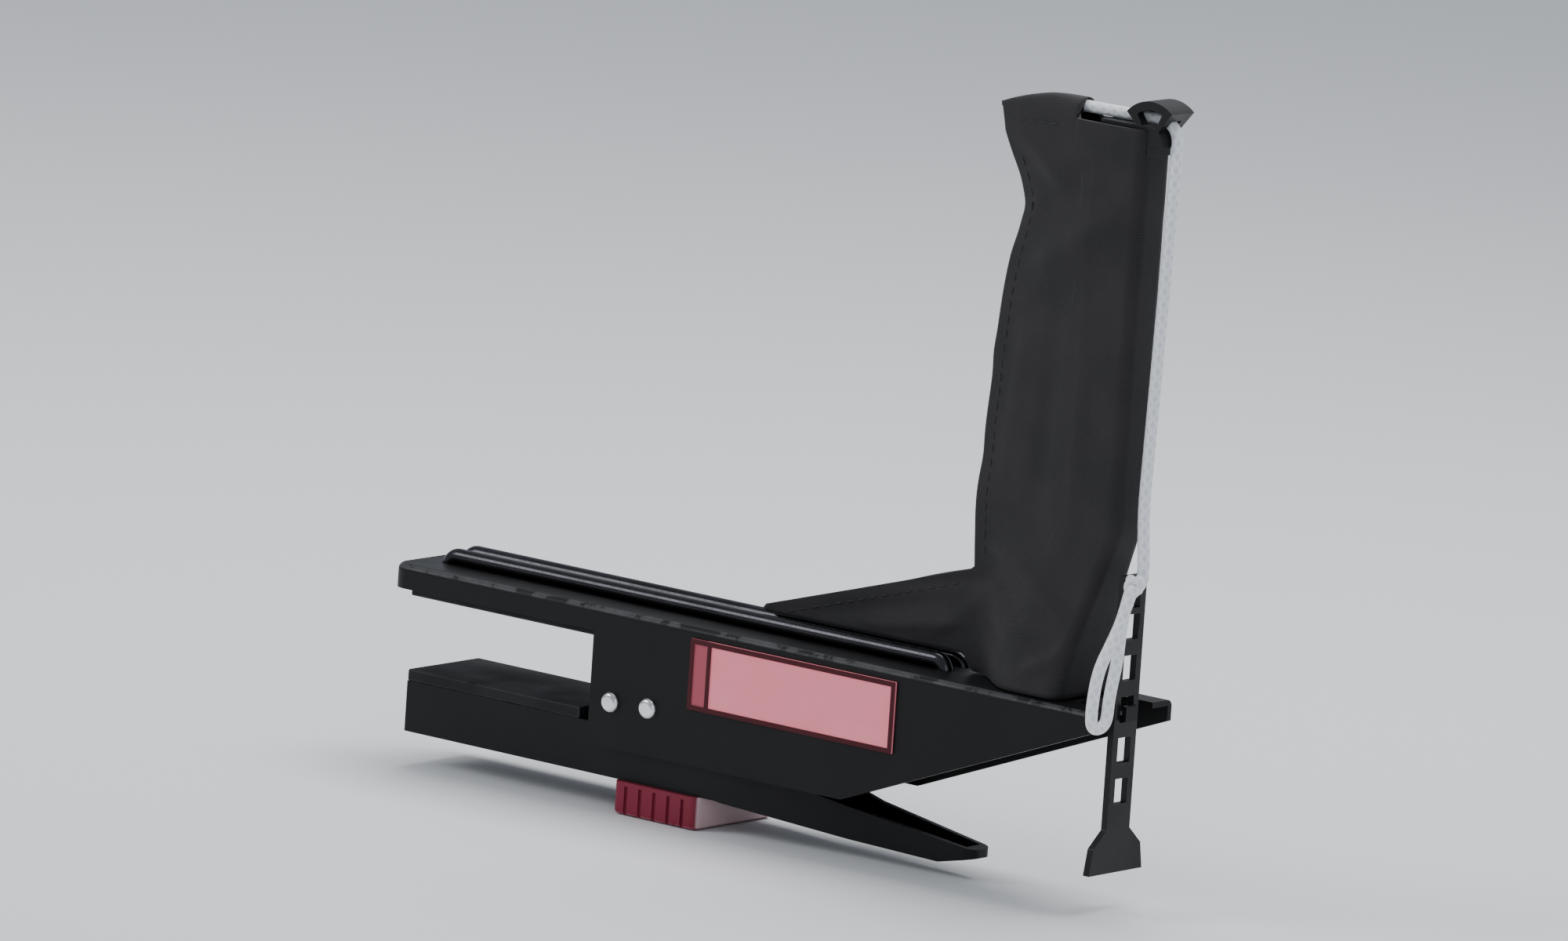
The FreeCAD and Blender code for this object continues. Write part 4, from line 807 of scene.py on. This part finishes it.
def ridge(reach, height, start, end, width, depth):
    """A soft ridge of the cloth along a line, fading at both ends."""
    run = Vector(end) - Vector(start)
    away = Vector((reach, height)) - Vector(start)
    share = away.dot(run) / run.length_squared
    fade = math.exp(-((share - 0.5) / RIDGE_FADE) ** 4)
    across = (away.x * run.y - away.y * run.x) / run.length
    return depth * fade * math.exp(-(across / width) ** 2)


def folds_at(reach, height, folds):
    """How far the listed folds lift the cloth, with the small unevenness of all soft cloth."""
    lift = sum(ridge(reach, height, *fold) for fold in folds)
    along, up = UNEVEN_RATE
    return lift + UNEVEN * noise.noise(Vector((reach * along, height * up, len(folds))))


class Section:
    """The cloth at one height, from its free edge to the middle of the post's outer face."""

    def __init__(self, row):
        self.row = row
        self.inner, self.outer, self.half = eased_between(SLEEVE_LEVELS, row)
        self.start = self.inner
        if row < GUSSET_TOP:
            edge = self.lifted(row, GUSSET_INNER)
            share = max(0.0, (edge - GUSSET_TIP) / (GUSSET_TOP - GUSSET_TIP))
            self.start = GUSSET_INNER + (self.inner - GUSSET_INNER) * share
        self.shoulder = self.outer - SHOULDER
        self.flat = self.inner - self.start
        self.slant = math.hypot(self.shoulder - self.inner, self.half - SEAM_HALF)
        self.flank = SHOULDER - CORNER
        self.arc = CORNER * math.pi / 2
        self.end = self.half - CORNER
        self.length = self.flat + self.slant + self.flank + self.arc + self.end

    @staticmethod
    def lifted(row, reach):
        """Height of a row at a reach: the lowest rows run over the rails, then down to the arm."""
        if row >= GUSSET_TOP:
            return row
        low = OVER_RAILS + (SLEEVE_LOW - OVER_RAILS) * smooth(reach, *OFF_RAILS)
        return low + (row - SLEEVE_LOW) * (GUSSET_TOP - low) / (GUSSET_TOP - SLEEVE_LOW)

    def place(self, run, side):
        """Reach, side and height of the point that lies this far along from the free edge."""
        run -= self.flat
        if run < self.slant:
            part = max(0.0, run / self.slant)
            reach = self.inner + (run if run < 0 else (self.shoulder - self.inner) * part)
            soft = 1.0 - smooth(self.row, GUSSET_TOP, STRAIGHT_SLANT)
            open_share = part + (smooth(part, 0, 1) - part) * soft
            belly = math.sin(part * math.pi) * BELLY * (1 - soft)
            away = SEAM_HALF + (self.half - SEAM_HALF) * open_share + belly
        elif run < self.slant + self.flank:
            reach = self.shoulder + run - self.slant
            away = self.half
        elif run < self.slant + self.flank + self.arc:
            angle = (run - self.slant - self.flank) / CORNER
            reach = self.outer - CORNER + CORNER * math.sin(angle)
            away = self.half - CORNER + CORNER * math.cos(angle)
        else:
            reach = self.outer
            away = self.end - (run - self.slant - self.flank - self.arc)
        height = self.lifted(self.row, reach)
        opened = smooth(reach, self.inner, self.inner + OPENING)
        turned = 1.0 - smooth(reach, self.outer - CORNER - CORNER_EASE, self.outer)
        settled = smooth(self.row, SLEEVE_LOW, SLEEVE_LOW + SETTLING)
        lift = folds_at(reach, height, NEAR_FOLDS if side < 0 else FAR_FOLDS)
        lift = max(lift, DEEPEST_ON_POST if reach > self.shoulder - POST_NEAR else DEEPEST)
        sway = folds_at(reach, height, WEB_FOLDS)
        away += lift * opened * turned
        return reach, away * side + sway * (1 - opened) * settled, height

    def run_past(self, reach):
        """Run along the near side to a reach on its flat or slanting part."""
        if reach <= self.inner:
            return reach - self.start
        return self.flat + (reach - self.inner) / (self.shoulder - self.inner) * self.slant


def hemmed(reach, y, part):
    """Close the cloth over the cord: part runs 0 to 1 from the foot of the hem to its top."""
    top = eased_between(HEM_LINE, reach)[0]
    angle = part * math.pi / 2
    hem_y = y * math.cos(angle) ** HEM_SIDE_POWER
    hem_z = HEM_START + (top - HEM_START) * math.sin(angle) ** HEM_TOP_POWER
    rim_z = HEM_START + HEM_ROWS * part
    share = smooth(reach, HEM_END + HEM_EASE, HEM_END - HEM_EASE)
    return y + (hem_y - y) * share, rim_z + (hem_z - rim_z) * share


def cloth_point(across, up):
    """A point of the sheet: across -1 to 1 between its two free edges, up 0 to 1.

    It gives the point's place, and its run and height on the cloth for the weave.
    """
    if up <= BODY_SHARE:
        section = Section(SLEEVE_LOW + (HEM_START - SLEEVE_LOW) * up / BODY_SHARE)
    else:
        part = (up - BODY_SHARE) / (1 - BODY_SHARE)
        section = Section(HEM_START + HEM_ROWS * part)
    run = (1 - abs(across)) * section.length
    reach, y, z = section.place(run, 1 if across > 0 else -1)
    if up > BODY_SHARE:
        y, z = hemmed(reach, y, part)
    left = math.copysign(section.length - run, across)
    return at(reach, y, z), Vector((left, z, 0.0)) * MM


def make_sleeve(paint):
    """One cloth folded round the post, sewn along its free edges and over the cord at the top."""
    bm = bmesh.new()
    bmesh.ops.create_grid(bm, x_segments=CLOTH_COLUMNS, y_segments=CLOTH_ROWS, size=1.0)
    cloth = bm.verts.layers.float_vector.new("cloth")
    for vertex in bm.verts:
        place, flat = cloth_point(vertex.co.x, (vertex.co.y + 1) / 2)
        vertex[cloth] = flat
        vertex.co = place
    bmesh.ops.recalc_face_normals(bm, faces=bm.faces)
    sleeve = new_piece("cloth_sleeve", bm, paint["cloth"], None)
    thick = sleeve.modifiers.new("cloth_thickness", "SOLIDIFY")
    thick.thickness = CLOTH * MM
    thick.offset = -1.0
    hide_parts("post_sleeve")
    thread = make_stitches(paint)
    for piece in (sleeve, thread):
        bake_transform(piece)
    flat = (0.236, 0.148)


# Stitches of the sleeve

STITCH = 2.4                    # length of a stitch that shows
STITCH_STEP = 3.6               # from the start of one stitch to the next
THREAD = 0.28                   # half the thread's thickness
SIDE_STITCHES = 29              # up the free edges, this far in from them
SIDE_START = 38.0
SIDE_IN = 3.4
FOOT_STITCHES = 16              # along the gusset, this far below its upper edge
FOOT_START = 52.0
FOOT_BELOW = 3.0
HEM_STITCHES = 6                # along the hem, this far above its foot
HEM_STITCH_START = 111.0
HEM_ABOVE = 1.4


def seam_lines():
    """Places along each stitched line, on both sides of the cloth."""
    lines = []
    for side in (-1, 1):
        edge = []
        for index in range(SIDE_STITCHES):
            section = Section(SIDE_START + index * STITCH_STEP)
            edge.append(at(*section.place(SIDE_IN, side)))
        lines.append(edge)
        foot = []
        for index in range(FOOT_STITCHES):
            reach = FOOT_START + index * STITCH_STEP
            share = (reach - GUSSET_INNER) / (GUSSET_TOP_REACH - GUSSET_INNER)
            height = GUSSET_TIP + (GUSSET_TOP - GUSSET_TIP) * share - FOOT_BELOW
            rows = (GUSSET_TOP - SLEEVE_LOW) / (GUSSET_TOP - OVER_RAILS)
            row = SLEEVE_LOW + (height - OVER_RAILS) * rows
            section = Section(max(row, SLEEVE_LOW))
            foot.append(at(*section.place(section.run_past(reach), side)))
        lines.append(foot)
        hem = []
        for index in range(HEM_STITCHES):
            section = Section(HEM_START + HEM_ABOVE)
            run = section.run_past(HEM_STITCH_START + index * STITCH_STEP)
            reach, y, z = section.place(run, side)
            hem.append(at(reach, *hemmed(reach, y, HEM_ABOVE / HEM_ROWS)))
        lines.append(hem)
    return lines


def make_stitches(paint):
    """Thread of the seams: short round stitches that sit half sunk in the cloth."""
    bm = bmesh.new()
    size = Matrix.Diagonal((THREAD * MM, THREAD * MM, STITCH / 2 * MM, 1.0))
    for line in seam_lines():
        for first, after in zip(line, line[1:]):
            run = (after - first).normalized()
            turn = Vector((0, 0, 1)).rotation_difference(run).to_matrix().to_4x4()
            middle = Matrix.Translation(first + run * STITCH / 2 * MM)
            made = bmesh.ops.create_uvsphere(bm, u_segments=8, v_segments=6, radius=1.0)
            bmesh.ops.transform(bm, verts=made["verts"], matrix=middle @ turn @ size)
    return new_piece("seam_thread", bm, paint["thread"], None)


# Hard pieces

# CAD node, radius of its eased edges, paint, body and slot
EASED_NODES = [
    ("upper_arm", 0.28, "enamel", "arm", "black_enamel"),
    ("upper_pad", 0.4, "rubber", "arm", "rubber"),
    ("lower_pad", 0.4, "rubber", "lever", "rubber"),
    ("lever", 0.45, "enamel", "lever", "black_enamel"),
    ("spring_cover", 0.25, "red", "lever", "red_plastic"),
    ("cover_screws", 0.15, "zinc", "lever", "zinc_steel"),
    ("front_badge", 0.12, "badge", "arm", "badge_plastic"),
    ("rear_badge", 0.12, "badge", "arm", "badge_plastic"),
    ("post", 0.2, "enamel", "post", "black_enamel"),
    ("post_head", 0.3, "plastic", "post", "black_plastic"),
    ("post_socket", 0.2, "enamel", "arm", "black_enamel"),
    ("socket_rivets", 0.3, "rivet", "arm", "rivet_steel"),
    ("height_nut", 0.2, "zinc", "post", "zinc_steel"),
    ("ladder_strap", 0.35, "plastic", "strap", "black_plastic"),
]
# Turned and bent pieces that are shown as the CAD made them
PLAIN_NODES = {
    "pivot_pin": "rivet",
    "spring_pin": "rivet",
    "pivot_bush": "zinc",
    "pivot_washers": "zinc",
    "spring_spacers": "zinc",
    "front_net_rail": "wire",
    "rear_net_rail": "wire",
    "head_pin": "zinc",
    "height_screw": "zinc",
    "screw_clip": "spring",
}


def make_hard_pieces(paint):
    for node, radius, finish, body, slot in EASED_NODES:
        make_eased(node, radius, paint[finish], body)
    for node, finish in PLAIN_NODES.items():
        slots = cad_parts[node].data.materials
        slots.clear()
        slots.append(paint[finish])


def make_spring(paint):
    """The spring as one wire that reaches from the arm's pin to the lever."""
    bm = joined_copy("torsion_spring")
    spring = new_piece("sprung_wire", bm, paint["spring"], None)
    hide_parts("torsion_spring")
    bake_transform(spring)


# Studio, in metres

FLOOR_HALF = 9.0
FLOOR_GAP = 0.0002              # between the floor and the lowest point of the clamp
SKY_COLOUR = (0.80, 0.86, 0.95)
SKY_STRENGTH = 0.55
# Name, place, aim, sides and watts
LIGHTS = [
    ("overhead", (0.1, 0.35, 1.1), (0.08, 0, 0.05), (1.1, 0.8), 14.0),
    ("window", (-0.9, -1.0, 0.9), (0.08, 0, 0.05), (0.7, 0.7), 9.0),
    ("fill", (1.3, -0.9, 0.5), (0.08, 0, 0.03), (0.8, 0.8), 2.2),
]


def make_floor(paint):
    bm = bmesh.new()
    bmesh.ops.create_grid(bm, x_segments=2, y_segments=2, size=FLOOR_HALF)
    bmesh.ops.translate(bm, verts=bm.verts, vec=(0, 0, cad_box[0].z - FLOOR_GAP))
    mesh = bpy.data.meshes.new("studio_floor")
    bm.to_mesh(mesh)
    bm.free()
    mesh.materials.append(paint["floor"])
    floor = bpy.data.objects.new("studio_floor", mesh)
    bpy.context.scene.collection.objects.link(floor)


def make_lights():
    world = bpy.data.worlds.new("studio_light")
    world.use_nodes = True
    background = world.node_tree.nodes["Background"].inputs
    background["Color"].default_value = rgb(*SKY_COLOUR)
    background["Strength"].default_value = SKY_STRENGTH
    bpy.context.scene.world = world
    for name, place, aim, sides, power in LIGHTS:
        data = bpy.data.lights.new(name, "AREA")
        data.shape = "RECTANGLE"
        data.size, data.size_y = sides
        data.energy = power
        light = bpy.data.objects.new(name, data)
        away = Vector(place) - Vector(aim)
        turn = away.to_track_quat("Z", "Y").to_matrix().to_4x4()
        light.matrix_world = Matrix.Translation(place) @ turn
        bpy.context.scene.collection.objects.link(light)


make_camera()
paint = make_paint()
make_cords(paint)
make_sleeve(paint)
make_hard_pieces(paint)
make_spring(paint)
make_floor(paint)
make_lights()
